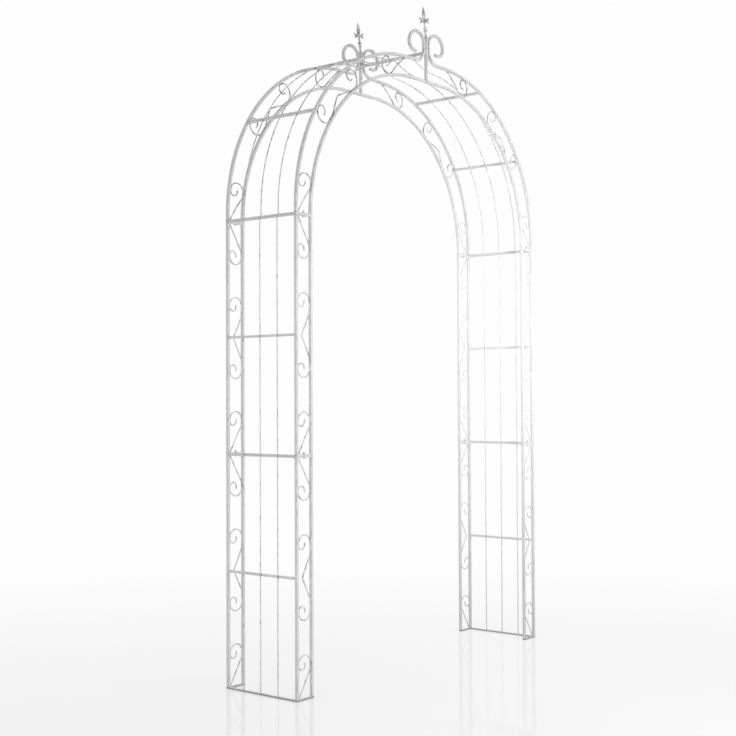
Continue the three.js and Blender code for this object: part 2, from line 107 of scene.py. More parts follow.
@dataclass(frozen=True)
class Plan:
    """The sizes that the sub-assemblies share."""

    bar_pitch: float = 0.390
    half_width: float = 0.707
    ladder_gap: float = 0.070
    frame_depth: float = 0.309
    spring_rise: float = 0.027
    crown_half_run: float = 0.109
    tube: float = 0.010
    wall: float = 0.0012
    corner: float = 0.0011
    plate: float = 0.005
    edge: float = 0.0008
    step: float = 0.02
    cross_bar: float = 0.008
    rod: float = 0.002
    scroll_rod: float = 0.0023
    sink: float = 0.0008
    gap: float = 0.0003
    fillet: float = 0.0012
    fillet_spread: float = 1.09
    joint_hole: float = 0.0028
    post_hole: float = 0.0019
    ridge_rise: float = 0.038
    post_rise: float = 0.051
    post_width: float = 0.010
    tang: float = 0.003
    ridge_bolt_share: float = 0.32
    post_bolt_share: float = 0.6
    post_screw_inset: float = 0.008
    rod_places: Triple = (-0.07725, 0.0, 0.07725)

    @property
    def section_pitch(self) -> float:
        """Height from one leg section to the next."""
        return 2 * self.bar_pitch

    @property
    def section_length(self) -> float:
        """Height of one leg section."""
        return self.section_pitch - self.gap

    @property
    def spring_height(self) -> float:
        """Height at which the arch stands on the legs."""
        return 2 * self.section_pitch

    @property
    def inner_x(self) -> float:
        """Place of the inner tubes' centre lines."""
        return self.half_width - self.ladder_gap

    @property
    def arch_base(self) -> float:
        """Height at which the outer tube's curve begins."""
        return self.spring_height + self.spring_rise

    @property
    def arch_radius(self) -> float:
        """Radius of the outer tube's centre line."""
        return self.half_width - self.crown_half_run

    @property
    def inner_top(self) -> float:
        """Height of the inner tube's centre line at the crown."""
        return self.arch_base + self.arch_radius - self.ladder_gap

    @property
    def rail_radius(self) -> float:
        """Radius of the inner tube's centre line."""
        return self.inner_top - self.spring_height - self.plate

    @property
    def rail_centre(self) -> Flat:
        """Middle of the inner tube's curve, as x and z."""
        return self.inner_x - self.rail_radius, self.spring_height + self.plate

    @property
    def ridge_height(self) -> float:
        """Height of the ridge bars' centre line."""
        return self.arch_base + self.arch_radius + self.ridge_rise

    @property
    def post_top(self) -> float:
        """Height of the top of each post."""
        return self.ridge_height + self.post_rise

    @property
    def post_bottom(self) -> float:
        """Height of the lower end of each post."""
        return self.inner_top - self.tube / 2

    @property
    def half_span(self) -> float:
        """Half the length of a bar between the two frames."""
        return (self.frame_depth - self.tube - 2 * self.gap) / 2

    @property
    def scroll_near(self) -> float:
        """Distance of a scroll rod's centre line from the outer tube's, where it runs beside that."""
        return self.tube / 2 + self.gap + self.scroll_rod

    @property
    def scroll_far(self) -> float:
        """The same distance where the rod runs beside the inner tube."""
        return self.ladder_gap - self.tube / 2 - self.scroll_rod + self.sink

    @property
    def post_holes(self) -> Flat:
        """Heights of the post's lower bolt and upper screw."""
        low = self.inner_top + (self.ridge_height - self.inner_top) * self.post_bolt_share
        return low, self.post_top - self.post_screw_inset


@dataclass(frozen=True)
class Rubbing:
    """How rubbed each kind of small piece is all over, which on the round rods and scrolls is partly painted shade,
    how corners are found, and how far joints show.
    """

    rod: float = 0.80
    scroll: float = 0.86
    bead: float = 0.85
    stem: float = 0.79
    spear: float = 0.80
    arm: float = 0.81
    bolt: float = 0.4
    covered: float = 0.0
    covered_reach: float = 0.0009
    flat_turn: float = 0.12
    turn_span: float = 0.35
    joint_spread: float = 0.014


PLAN = Plan()
RUB_AND_SHADE = Rubbing()


# The bench: pieces are started, drawn, cut, joined and copied here


def in_plane(x: float, z: float) -> Vector:
    """Gives a point in a frame's plane."""
    return Vector((x, 0, z))


def lay_down() -> None:
    """Leaves edit mode and deselects everything."""
    if bpy.context.object is not None and bpy.context.object.mode != "OBJECT":
        bpy.ops.object.mode_set(mode="OBJECT")
    bpy.ops.object.select_all(action="DESELECT")


def take(piece: Object) -> None:
    """Selects one piece alone and makes it active.

    Args:
        piece: The object to work on.
    """
    lay_down()
    piece.select_set(True)
    bpy.context.view_layer.objects.active = piece


def open_up(piece: Object) -> Object:
    """Puts a piece in edit mode with all of it selected.

    Args:
        piece: The object to edit.

    Returns:
        The same object.
    """
    take(piece)
    bpy.ops.object.mode_set(mode="EDIT")
    bpy.ops.mesh.select_all(action="SELECT")
    return piece


def extrude(move: Sequence[float]) -> None:
    """Draws the selected faces out by a move."""
    bpy.ops.mesh.extrude_region_move(TRANSFORM_OT_translate={"value": move})


def pick(piece: Object, test: Callable[[bmesh.types.BMFace], bool]) -> None:
    """Selects the faces that pass a test, with the piece in edit mode.

    Args:
        piece: The object in edit mode.
        test: Says whether a face is wanted, from its place or normal.
    """
    bpy.ops.mesh.select_mode(type="FACE")
    mesh = bmesh.from_edit_mesh(piece.data)
    for face in mesh.faces:
        face.select_set(test(face))
    mesh.select_flush_mode()
    bmesh.update_edit_mesh(piece.data)


def settle() -> Object:
    """Puts the place, turn and scale of the active piece into its mesh.

    Returns:
        The piece, at the origin.
    """
    piece = bpy.context.object
    take(piece)
    bpy.ops.object.transform_apply(location=True, rotation=True, scale=True)
    return piece


def tidy_shell(piece: Object) -> Object:
    """Merges doubled points and turns the faces outwards.

    Args:
        piece: The object to tidy.

    Returns:
        The same object.
    """
    open_up(piece)
    bpy.ops.mesh.remove_doubles(threshold=1e-6)
    bpy.ops.mesh.normals_make_consistent(inside=False)
    lay_down()
    return piece


def reshape(piece: Object, kind: str, **settings: object) -> Object:
    """Changes a piece by a modifier, which is applied.

    Args:
        piece: The object to change.
        kind: The modifier's type.
        settings: Its properties.

    Returns:
        The same object.
    """
    take(piece)
    change = piece.modifiers.new("change", kind)
    for name, value in settings.items():
        setattr(change, name, value)
    bpy.ops.object.modifier_apply(modifier=change.name)
    return piece


def soften(piece: Object, radius: float, turn: float) -> Object:
    """Rounds the edges of a piece that turn by more than an angle."""
    return reshape(piece, "BEVEL", width=radius, segments=2, limit_method="ANGLE", angle_limit=turn)


def store(piece: Object, name: str, values: Sequence[float]) -> Object:
    """Stores a value for each point of a piece, as an attribute.

    Args:
        piece: The object to mark.
        name: The attribute's name.
        values: The values in the order of the points.

    Returns:
        The same object.
    """
    mark = piece.data.attributes.get(name) or piece.data.attributes.new(name, "FLOAT", "POINT")
    mark.data.foreach_set("value", values)
    return piece


def note_rubbing(piece: Object, level: float | None = None) -> Object:
    """Stores how dark each point of a piece is painted, for rubbed paint and for painted shade along its edges, as a
    point attribute.

    Args:
        piece: The object to mark.
        level: One level for the whole piece, or None for the corners alone.

    Returns:
        The same object.
    """
    if level is not None:
        return store(piece, "rub", [level] * len(piece.data.vertices))
    shape = bmesh.new()
    shape.from_mesh(piece.data)
    values = []
    for point in shape.verts:
        # Outward edges alone count: a hollow gets neither rubbing nor painted edge shade
        turn = max((edge.calc_face_angle_signed(0.0) for edge in point.link_edges), default=0.0)
        values.append(min(max((turn - RUB_AND_SHADE.flat_turn) / RUB_AND_SHADE.turn_span, 0.0), 1.0))
    shape.free()
    return store(piece, "rub", values)


def keep_painted(piece: Object, level: float, way: int = 2) -> Object:
    """Leaves the paint whole, without rubbing or painted edge shade, where a flat lies against another one, so that
    the two look like one bar.

    Args:
        piece: The flat or plate.
        level: The place of the face that the other flat covers.
        way: The axis across that face: 0, 1 or 2 for X, Y or Z.

    Returns:
        The same object.
    """
    for point, rub in zip(piece.data.vertices, piece.data.attributes["rub"].data):
        if abs(point.co[way] - level) < RUB_AND_SHADE.covered_reach:
            rub.value = RUB_AND_SHADE.covered
    return piece


def note_joints(piece: Object, joints: Sequence[Vector], spread: float = RUB_AND_SHADE.joint_spread) -> Object:
    """Stores how near each point is to a weld or bolt, as the attribute "joint".

    Args:
        piece: The object to mark.
        joints: The places of the welds and bolts.
        spread: The distance at which a joint no longer shows.

    Returns:
        The same object.
    """
    values = []
    for point in piece.data.vertices:
        nearest = min(((point.co - place).length for place in joints), default=spread)
        values.append(max(1.0 - nearest / spread, 0.0))
    return store(piece, "joint", values)


def join(parts: Sequence[Object]) -> Object:
    """Joins parts into one piece.

    Args:
        parts: The objects to join.

    Returns:
        The joined object.
    """
    take(parts[0])
    for part in parts:
        part.select_set(True)
    bpy.ops.object.join()
    return bpy.context.object


def copy_to(piece: Object, name: str, move: Matrix) -> Object:
    """Copies a piece with its own mesh and puts the copy in place.

    Args:
        piece: The object to copy.
        name: The copy's name.
        move: The turn and shift from the piece's place to the copy's.

    Returns:
        The copy, at the origin, with its place in its mesh.
    """
    twin = piece.copy()
    twin.data = piece.data.copy()
    twin.name = twin.data.name = name
    bpy.context.scene.collection.objects.link(twin)
    twin.data.transform(move)
    return twin


def scrap(piece: Object) -> None:
    """Removes a piece that was only a pattern or a tool.

    Args:
        piece: The object to remove.
    """
    mesh = piece.data
    bpy.data.objects.remove(piece)
    bpy.data.meshes.remove(mesh)


def block(low: Sequence[float], high: Sequence[float], edge: float = PLAN.edge) -> Object:
    """Makes a flat or a plate with softened edges, and with cuts along it that let its wear change.

    Args:
        low: The lowest corner.
        high: The highest corner.
        edge: The radius of the edges.

    Returns:
        The new object.
    """
    lay_down()
    size = [b - a for a, b in zip(low, high)]
    middle = [(a + b) / 2 for a, b in zip(low, high)]
    bpy.ops.mesh.primitive_cube_add(size=1.0, location=middle, scale=size)
    piece = open_up(settle())
    bpy.ops.mesh.bevel(offset=edge, segments=2, affect="EDGES")
    long_way = max(range(3), key=lambda i: size[i])
    cuts = int(size[long_way] / PLAN.step)
    normal = [float(i == long_way) for i in range(3)]
    for cut in range(1, cuts):
        bpy.ops.mesh.select_all(action="SELECT")
        at = list(middle)
        at[long_way] = low[long_way] + size[long_way] * cut / cuts
        bpy.ops.mesh.bisect(plane_co=at, plane_no=normal)
    pick(piece, lambda face: face.calc_area() > 4 * edge * edge and abs(max(face.normal, key=abs)) > 0.999)
    bpy.ops.mesh.inset(thickness=edge, use_boundary=True)
    lay_down()
    return note_rubbing(piece)


def drill(piece: Object, at: Sequence[float], radius: float, depth: float, turn: Triple = UPRIGHT) -> Object:
    """Drills a round hole through a piece.

    Args:
        piece: The object to drill.
        at: The middle of the hole.
        radius: The hole's radius.
        depth: The length of the drill's cut.
        turn: The turn from an upright hole, as Euler angles.

    Returns:
        The same object.
    """
    lay_down()
    bpy.ops.mesh.primitive_cylinder_add(vertices=24, radius=radius, depth=depth, location=at, rotation=turn)
    bit = bpy.context.object
    reshape(piece, "BOOLEAN", operation="DIFFERENCE", object=bit)
    scrap(bit)
    return note_rubbing(piece)


def turned(base: float, profile: Sequence[Flat], sides: int) -> Object:
    """Makes an upright turned piece by drawing a disc up through its profile.

    Args:
        base: The height of its lower end.
        profile: Radius and height above the base at each step, from the bottom up.
        sides: The number of sides.

    Returns:
        The new object.
    """
    lay_down()
    start = in_plane(0, base)
    radius, height = profile[0]
    bpy.ops.mesh.primitive_circle_add(
        vertices=sides, radius=radius, fill_type="NGON", location=start + in_plane(0, height))
    piece = open_up(settle())
    for wider, higher in profile[1:]:
        extrude((0, 0, higher - height))
        ratio = wider / radius
        bpy.ops.transform.resize(value=(ratio, ratio, 1), center_override=start + in_plane(0, higher))
        radius, height = wider, higher
    return tidy_shell(piece)


@dataclass(frozen=True)
class SquareTube:
    """The cross section of square tube, with rounded corners."""

    size: float = PLAN.tube
    corner: float = PLAN.corner

    def face(self, at: Vector, turn: Triple) -> None:
        """Adds the section as one face and leaves it in edit mode.

        Args:
            at: The middle of the face.
            turn: Its turn from level, as Euler angles.
        """
        bpy.ops.mesh.primitive_plane_add(size=self.size, location=at, rotation=turn)
        tube = open_up(settle())
        bpy.ops.mesh.bevel(offset=self.corner, segments=3, affect="VERTICES")
        mesh = bmesh.from_edit_mesh(tube.data)
        bpy.ops.mesh.select_mode(type="EDGE")
        for edge in mesh.edges:
            edge.select_set(edge.calc_length() > self.size / 2)
        bpy.ops.mesh.subdivide(number_cuts=1)


@dataclass(frozen=True)
class RoundRod:
    """The cross section of round rod."""

    radius: float = PLAN.rod
    sides: int = 12

    def face(self, at: Vector, turn: Triple) -> None:
        """Adds the section as one face and leaves it in edit mode.

        Args:
            at: The middle of the face.
            turn: Its turn from level, as Euler angles.
        """
        bpy.ops.mesh.primitive_circle_add(
            vertices=self.sides, radius=self.radius, fill_type="NGON", location=at, rotation=turn)
        open_up(settle())


class DrawnBar:
    """A bar that is drawn out from its first end face, straight or round bends in the frame's plane.

    Each step gives the bar back, for the next step.
    """

    def __init__(self, section: SquareTube | RoundRod, at: Sequence[float], lean: float = 0.0) -> None:
        """Cuts the first end face.

        Args:
            section: The bar's cross section.
            at: Where the bar's centre line starts.
            lean: The bar's turn from upright, about Y.
        """
        lay_down()
        self.place = Vector(at)
        self.heading = Matrix.Rotation(lean, 3, "Y") @ Vector((0, 0, 1))
        section.face(self.place, (0, lean, 0))
        bpy.ops.mesh.select_mode(type="FACE")
        bpy.ops.mesh.select_all(action="SELECT")
        self.piece = bpy.context.object

    def straight(self, length: float) -> DrawnBar:
        """Draws the bar straight on.

        Args:
            length: How far.

        Returns:
            The bar.
        """
        runs = max(1, math.ceil(length / PLAN.step))
        for _ in range(runs):
            move = self.heading * (length / runs)
            extrude(move)
            self.place += move
        return self

    def swell(self, ratio: float) -> DrawnBar:
        """Makes the open end wider or narrower by a ratio."""
        bpy.ops.transform.resize(value=(ratio, ratio, ratio), center_override=self.place)
        return self

    def weld_on(self) -> DrawnBar:
        """Starts the bar with a low fillet of weld round its first end."""
        return self.swell(PLAN.fillet_spread).straight(PLAN.fillet).swell(1 / PLAN.fillet_spread)

    def weld_off(self) -> DrawnBar:
        """Ends the bar with a low fillet of weld round its last end."""
        return self.straight(PLAN.fillet).swell(PLAN.fillet_spread)

    def bend(self, radius: float, angle: float, steps: int) -> DrawnBar:
        """Bends the bar on in the frame's plane.

        Args:
            radius: The radius of the centre line.
            angle: The turn in radians, from up towards the left where it is positive.
            steps: The number of steps.

        Returns:
            The bar.
        """
        side = in_plane(-self.heading.z, self.heading.x) * math.copysign(1, angle)
        centre = self.place + side * radius
        bpy.ops.mesh.spin(steps=steps, angle=angle, center=centre, axis=(0, 1, 0))
        turn = Matrix.Rotation(-angle, 3, "Y")
        self.place = centre + turn @ (self.place - centre)
        self.heading = turn @ self.heading
        return self

    def follow(self, points: Sequence[Vector]) -> DrawnBar:
        """Draws the bar on through points in the frame's plane, square to the line at each.

        Args:
            points: The next points of the centre line.

        Returns:
            The bar.
        """
        for i, point in enumerate(points):
            run = (point - self.place).normalized()
            ahead = (points[i + 1] - point).normalized() if i + 1 < len(points) else run
            goal = (run + ahead).normalized()
            extrude(point - self.place)
            turn = math.atan2(self.heading.z * goal.x - self.heading.x * goal.z, self.heading.dot(goal))
            if abs(turn) > 1e-7:
                bpy.ops.transform.rotate(value=-turn, orient_axis="Y", center_override=point)
            self.place, self.heading = point.copy(), goal
        return self

    def end_cap(self, length: float, lip: float = PLAN.wall) -> DrawnBar:
        """Draws the bar straight on to a flat cap, with a narrow rim along its edges.

        Args:
            length: How far.
            lip: The width of the rim, along the bar and across its end.

        Returns:
            The bar.
        """
        self.straight(length - lip).straight(lip)
        bpy.ops.mesh.inset(thickness=lip)
        return self

    def close(self, rub: float | None = None) -> Object:
        """Ends the drawing and gives the piece, with rubbing and painted edge shade at one level all over or on its
        corners alone.
        """
        return note_rubbing(tidy_shell(self.piece), rub)


@dataclass(frozen=True)
class WeldBead:
    """A small uneven bead of weld, lying along Z."""

    radius: float = 0.0023
    stretch: float = 1.7
    uneven: float = 0.12
    seed: int = 3
    spin: float = 1.3

    def place(self, spots: Iterable[tuple[Vector, float]]) -> list[Object]:
        """Puts a bead on each spot, each one turned further about its length.

        Args:
            spots: The place of each bead, and its turn about Y.

        Returns:
            The beads.
        """
        lay_down()
        bpy.ops.mesh.primitive_ico_sphere_add(subdivisions=2, radius=self.radius)
        pattern = open_up(bpy.context.object)
        bpy.ops.transform.resize(value=(1, 1, self.stretch), center_override=(0, 0, 0))
        bpy.ops.transform.vertex_random(offset=self.radius * self.uneven, seed=self.seed)
        lay_down()
        note_rubbing(pattern, RUB_AND_SHADE.bead)
        beads = []
        for i, (at, turn) in enumerate(spots):
            move = Matrix.Translation(at) @ Matrix.Rotation(turn, 4, "Y") @ Matrix.Rotation(i * self.spin, 4, "Z")
            beads.append(copy_to(pattern, "bead", move))
        scrap(pattern)
        return beads


# Finishes


class Nodes:
    """A node tree, with short ways to add and join nodes."""

    def __init__(self, tree: bpy.types.NodeTree) -> None:
        """Keeps the tree."""
        self.tree = tree

    def feed(self, socket: Socket, source: object) -> None:
        """Joins an output to an input, or sets the input's own value.

        Args:
            socket: The input.
            source: The output, or the value.
        """
        if isinstance(source, Socket):
            self.tree.links.new(source, socket)
        else:
            socket.default_value = source

    def node(self, kind: str, *sources: object, **values: object) -> bpy.types.Node:
        """Adds a node.

        Args:
            kind: The node's type, as its name goes on after "ShaderNode".
            sources: The outputs or values of its first inputs.
            values: Its properties, and its inputs by name with underscores for spaces.

        Returns:
            The node.
        """
        node = self.tree.nodes.new(f"ShaderNode{kind}")
        for key, value in values.items():
            if hasattr(node, key):
                setattr(node, key, value)
            else:
                self.feed(node.inputs[key.replace("_", " ")], value)
        for source, socket in zip(sources, node.inputs):
            self.feed(socket, source)
        return node

    def place(self) -> Socket:
        """Gives a point's place in the object's own coordinates."""
        return self.node("TexCoord").outputs["Object"]

    def coordinate(self, axis: str) -> Socket:
        """Gives a point's place along one axis: X, Y or Z."""
        return self.node("SeparateXYZ", self.place()).outputs[axis]

    def attribute(self, name: str) -> Socket:
        """Reads one of the piece's own attributes."""
        return self.node("Attribute", attribute_name=name).outputs["Fac"]

    def noise(self, scale: Triple, detail: float, rough: float) -> Socket:
        """Adds noise, about 0 to 1.

        Args:
            scale: The noise's scale along X, Y and Z.
            detail: The number of octaves.
            rough: How much of the finer octaves shows.

        Returns:
            The noise's value.
        """
        stretched = self.node("Mapping", self.place(), Scale=scale).outputs[0]
        return self.node("TexNoise", stretched, Scale=1.0, Detail=detail, Roughness=rough).outputs["Fac"]

    def sums(self, *terms: tuple[Socket, float]) -> Socket:
        """Adds up several outputs, each times its weight.

        Args:
            terms: The outputs and their weights.

        Returns:
            The sum.
        """
        total: object = 0.0
        for output, weight in terms:
            total = self.node("Math", output, weight, total, operation="MULTIPLY_ADD").outputs[0]
        return total

    def between(self, value: Socket, limits: Flat) -> Socket:
        """Maps a value smoothly to between 0 and 1.

        Args:
            value: The output to map.
            limits: Where 0 ends, and where 1 begins.

        Returns:
            The mapped value.
        """
        low, high = limits
        ramp = self.node("MapRange", value, interpolation_type="SMOOTHSTEP", From_Min=low, From_Max=high)
        return ramp.outputs["Result"]

    def level(self, share: Socket, ends: Flat) -> Socket:
        """Turns a share of 0 to 1 into a value between two ends."""
        return self.node("MapRange", share, To_Min=ends[0], To_Max=ends[1]).outputs["Result"]

    def blend(self, share: Socket, first: Socket | Triple, second: Socket | Triple) -> Socket:
        """Mixes two colours.

        Args:
            share: The share of the second colour.
            first: An output, or a colour.
            second: An output, or a colour.

        Returns:
            The mixed colour.
        """
        mix = self.node("Mix", share, data_type="RGBA")
        for socket, colour in ((mix.inputs[6], first), (mix.inputs[7], second)):
            self.feed(socket, colour if isinstance(colour, Socket) else (*colour, 1.0))
        return mix.outputs[2]

    def seen_rays(self) -> Socket:
        """Tells the rays that the camera sees from the light on the object.

        Returns:
            1 for what it sees straight, in gloss or through glass, and 0 for the light on the object.
        """
        path = self.node("LightPath")
        seen = path.outputs["Is Camera Ray"]
        for ray in ("Is Glossy Ray", "Is Transmission Ray"):
            seen = self.node("Math", seen, path.outputs[ray], operation="ADD", use_clamp=True).outputs[0]
        return seen

    def mix_into(self, end: str, share: Socket, first: bpy.types.Node, second: bpy.types.Node) -> None:
        """Mixes the shaders of two nodes into the tree's end.

        Args:
            end: The name of the end node.
            share: The share of the second shader.
            first: A node with a shader.
            second: Another one.
        """
        mix = self.node("MixShader", share, first.outputs[0], second.outputs[0])
        self.feed(self.tree.nodes[end].inputs["Surface"], mix.outputs[0])


class Shader(Nodes):
    """A material's node tree."""

    def __init__(self, name: str) -> None:
        """Starts a material.

        Args:
            name: The material's name.
        """
        self.material = bpy.data.materials.new(name)
        self.material.use_nodes = True
        super().__init__(self.material.node_tree)
        self.surface = self.tree.nodes["Principled BSDF"]

    def give(self, **sources: object) -> None:
        """Gives the surface its inputs, by name with underscores for spaces."""
        for name, source in sources.items():
            self.feed(self.surface.inputs[name.replace("_", " ")], source)

    def relief(self, height: Socket, depth: float) -> None:
        """Gives the surface relief, by its height of 0 to 1 and the depth of 1."""
        self.give(Normal=self.node("Bump", Strength=0.7, Distance=depth, Height=height).outputs["Normal"])


@dataclass(frozen=True)
class WornPaint:
    """Antique white paint, rubbed grey along the corners with painted edge shade, chipped dark at the joints, greyer
    at the crown with painted shade there, and with a painted contact shadow at the floor.
    """

    name: str = "antique white paint"
    white: Triple = (0.86, 0.853, 0.855)
    cream: Triple = (0.78, 0.772, 0.771)
    rubbed: Triple = (0.20, 0.195, 0.19)
    # Rubbed grey of worn paint, also used as painted shade along the edges
    metal: Triple = (0.09, 0.086, 0.082)
    grey: Triple = (0.56, 0.555, 0.55)
    # Painted contact shadow where the pieces stand on the floor
    grime: Triple = (0.20, 0.195, 0.19)
    rub: float = 0.22
    chips: float = 0.31
    edge_rubbing: Flat = (0.60, 0.95)
    corner_rubbing: Flat = (0.75, 1.0)
    # Heights over which the paint greys and wears more, partly as painted shade on the crown
    weathered_heights: Flat = (1.25, 1.95)
    sheltered_places: Flat = (0.15, 0.60)
    # Heights over which the painted contact shadow fades out
    grime_heights: Flat = (0.006, 0.0005)
    relief: float = 0.0004

    def material(self) -> bpy.types.Material:
        """Makes the material.

        Returns:
            The material.
        """
        shader = Shader(self.name)
        # Painted edge shade with wear: the corner mask darkens corners to the rubbed grey and the chip colour, partly
        # for rubbed paint, partly for the tubes' dark outlines
        rub = shader.between(shader.attribute("rub"), self.edge_rubbing)
        corner = shader.between(shader.attribute("rub"), self.corner_rubbing)
        joint = shader.attribute("joint")
        height = shader.coordinate("Z")
        # Painted shade with wear: greyer and more worn towards the top, partly for the darker shading of the crown
        crown_shade_and_weather = shader.between(height, self.weathered_heights)
        sheltered = shader.between(shader.coordinate("X"), self.sheltered_places)
        clouds = shader.noise((14, 14, 9), 3, 0.5)
        blotches = shader.noise((70, 70, 70), 5, 0.6)
        streaks = shader.blend(crown_shade_and_weather, shader.noise((260, 260, 34), 5, 0.6), blotches)
        grain = shader.noise((520, 520, 420), 4, 0.65)
        patches = shader.noise((62, 62, 48), 4, 0.6)
        yellowed = shader.between(shader.sums((clouds, 0.6), (streaks, 0.4)), (0.38, 0.62))
        aged = shader.sums((crown_shade_and_weather, 0.42), (patches, 0.25), (sheltered, 0.20))
        worn = shader.sums(
            (streaks, 0.75), (patches, 0.45), (rub, self.rub), (joint, 0.06), (crown_shade_and_weather, 0.08), (sheltered, -0.10))
        bare = shader.sums(
            (grain, 0.62), (patches, 0.5), (corner, self.chips), (joint, 0.12), (crown_shade_and_weather, 0.07), (sheltered, -0.15))
        thin, chipped = shader.between(worn, (0.74, 0.97)), shader.between(bare, (0.90, 0.97))
        colour = shader.blend(aged, shader.blend(yellowed, self.white, self.cream), self.grey)
        colour = shader.blend(chipped, shader.blend(thin, colour, self.rubbed), self.metal)
        shader.give(
            # Painted contact shadow: the colour darkens over the lowest few millimetres, where the pieces meet the
            # floor
            Base_Color=shader.blend(shader.between(height, self.grime_heights), colour, self.grime),
            Roughness=shader.level(chipped, (0.62, 0.48)),
            Metallic=shader.level(chipped, (0.0, 0.35)),
        )
        shader.relief(shader.sums((grain, 0.25), (streaks, 0.2), (chipped, -0.55)), self.relief)
        return shader.material


@dataclass(frozen=True)
class DullSteel:
    """Weathered steel of the bolts, nuts and screws, with paint left in its hollows."""

    name: str = "dull fastener steel"
    steel: Triple = (0.42, 0.41, 0.40)
    tarnish: Triple = (0.24, 0.23, 0.22)
    paint: Triple = (0.70, 0.69, 0.68)
    relief: float = 0.0001

    def material(self) -> bpy.types.Material:
        """Makes the material.

        Returns:
            The material.
        """
        shader = Shader(self.name)
        patches = shader.noise((420, 420, 420), 3, 0.6)
        grain = shader.noise((1500, 1500, 1500), 3, 0.6)
        steel = shader.blend(shader.between(patches, (0.42, 0.60)), self.steel, self.tarnish)
        hollows = shader.sums((grain, 0.5), (patches, 0.5), (shader.attribute("rub"), -0.12))
        left = shader.between(hollows, (0.38, 0.48))
        shader.give(
            Base_Color=shader.blend(left, steel, self.paint),
            Metallic=shader.level(left, (0.45, 0.0)),
            Roughness=shader.level(left, (0.42, 0.62)),
        )
        shader.relief(grain, self.relief)
        return shader.material


@cache
def finish(slot: Slot) -> bpy.types.Material:
    """Gives the finish of a slot, which is made once."""
    return (WornPaint() if slot is Slot.PAINTED else DullSteel()).material()


def spread_out(pattern: Object, slot: Slot, places: Places) -> None:
    """Shades a pattern, copies it to its places, dresses the copies and scraps the pattern.

    Args:
        pattern: The finished right-hand piece.
        slot: The record's slot of its finish.
        places: The node that each copy replaces, and its move.
    """
    take(pattern)
    bpy.ops.object.shade_smooth_by_angle(angle=SMOOTH_TURN)
    reshape(pattern, "WEIGHTED_NORMAL", keep_sharp=True)
    for node, move in places:
        piece = copy_to(pattern, node, move)
        piece.data.materials.append(finish(slot))
        piece.name = f"{node}_dressed"
        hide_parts(node)
        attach(piece, BODY)
    log.info("%s and %d more: %d faces each", places[0][0], len(places) - 1, len(pattern.data.polygons))
    scrap(pattern)


# Lines in a ladder: along it from its foot, and across it from the outer tube's centre line

NEAR, FAR = PLAN.scroll_near, PLAN.scroll_far


def arc(centre: Flat, radius: float, start: float, end: float, steps: int) -> list[Flat]:
    """Gives points round an arc, both ends included.

    Args:
        centre: The middle of the arc.
        radius: Its radius.
        start: The first angle in radians.
        end: The last angle.
        steps: The number of steps.

    Returns:
        The points.
    """
    angles = [start + (end - start) * i / steps for i in range(steps + 1)]
    return [(centre[0] + radius * math.cos(a), centre[1] + radius * math.sin(a)) for a in angles]


def rounded(before: Flat, corner: Flat, after: Flat, radius: float, steps: int = 5) -> list[Flat]:
    """Rounds a corner between two straight runs.

    Args:
        before: A point on the first run.
        corner: The corner.
        after: A point on the second run.
        radius: The radius of the bend.
        steps: The number of steps.

    Returns:
        The points of the bend.
    """
    peak = Vector(corner)
    back, on = (Vector(before) - peak).normalized(), (Vector(after) - peak).normalized()
    half = back.angle(on) / 2
    centre = peak + (back + on).normalized() * (radius / math.sin(half))
    first, last = peak + back * (radius / math.tan(half)), peak + on * (radius / math.tan(half))
    start = math.atan2(*(first - centre).yx)
    sweep = (math.atan2(*(last - centre).yx) - start + math.pi) % (2 * math.pi) - math.pi
    return arc(tuple(centre), radius, start, start + sweep, steps)


def close_spaced(points: Sequence[Flat], step: float) -> list[Flat]:
    """Adds points on the long runs of a line.

    Args:
        points: The line.
        step: The longest run that stays.

    Returns:
        The line with the added points.
    """
    line = [points[0]]
    for a, b in zip(points, points[1:]):
        runs = max(1, math.ceil(math.dist(a, b) / step))
        line += [(a[0] + (b[0] - a[0]) * i / runs, a[1] + (b[1] - a[1]) * i / runs) for i in range(1, runs + 1)]
    return line


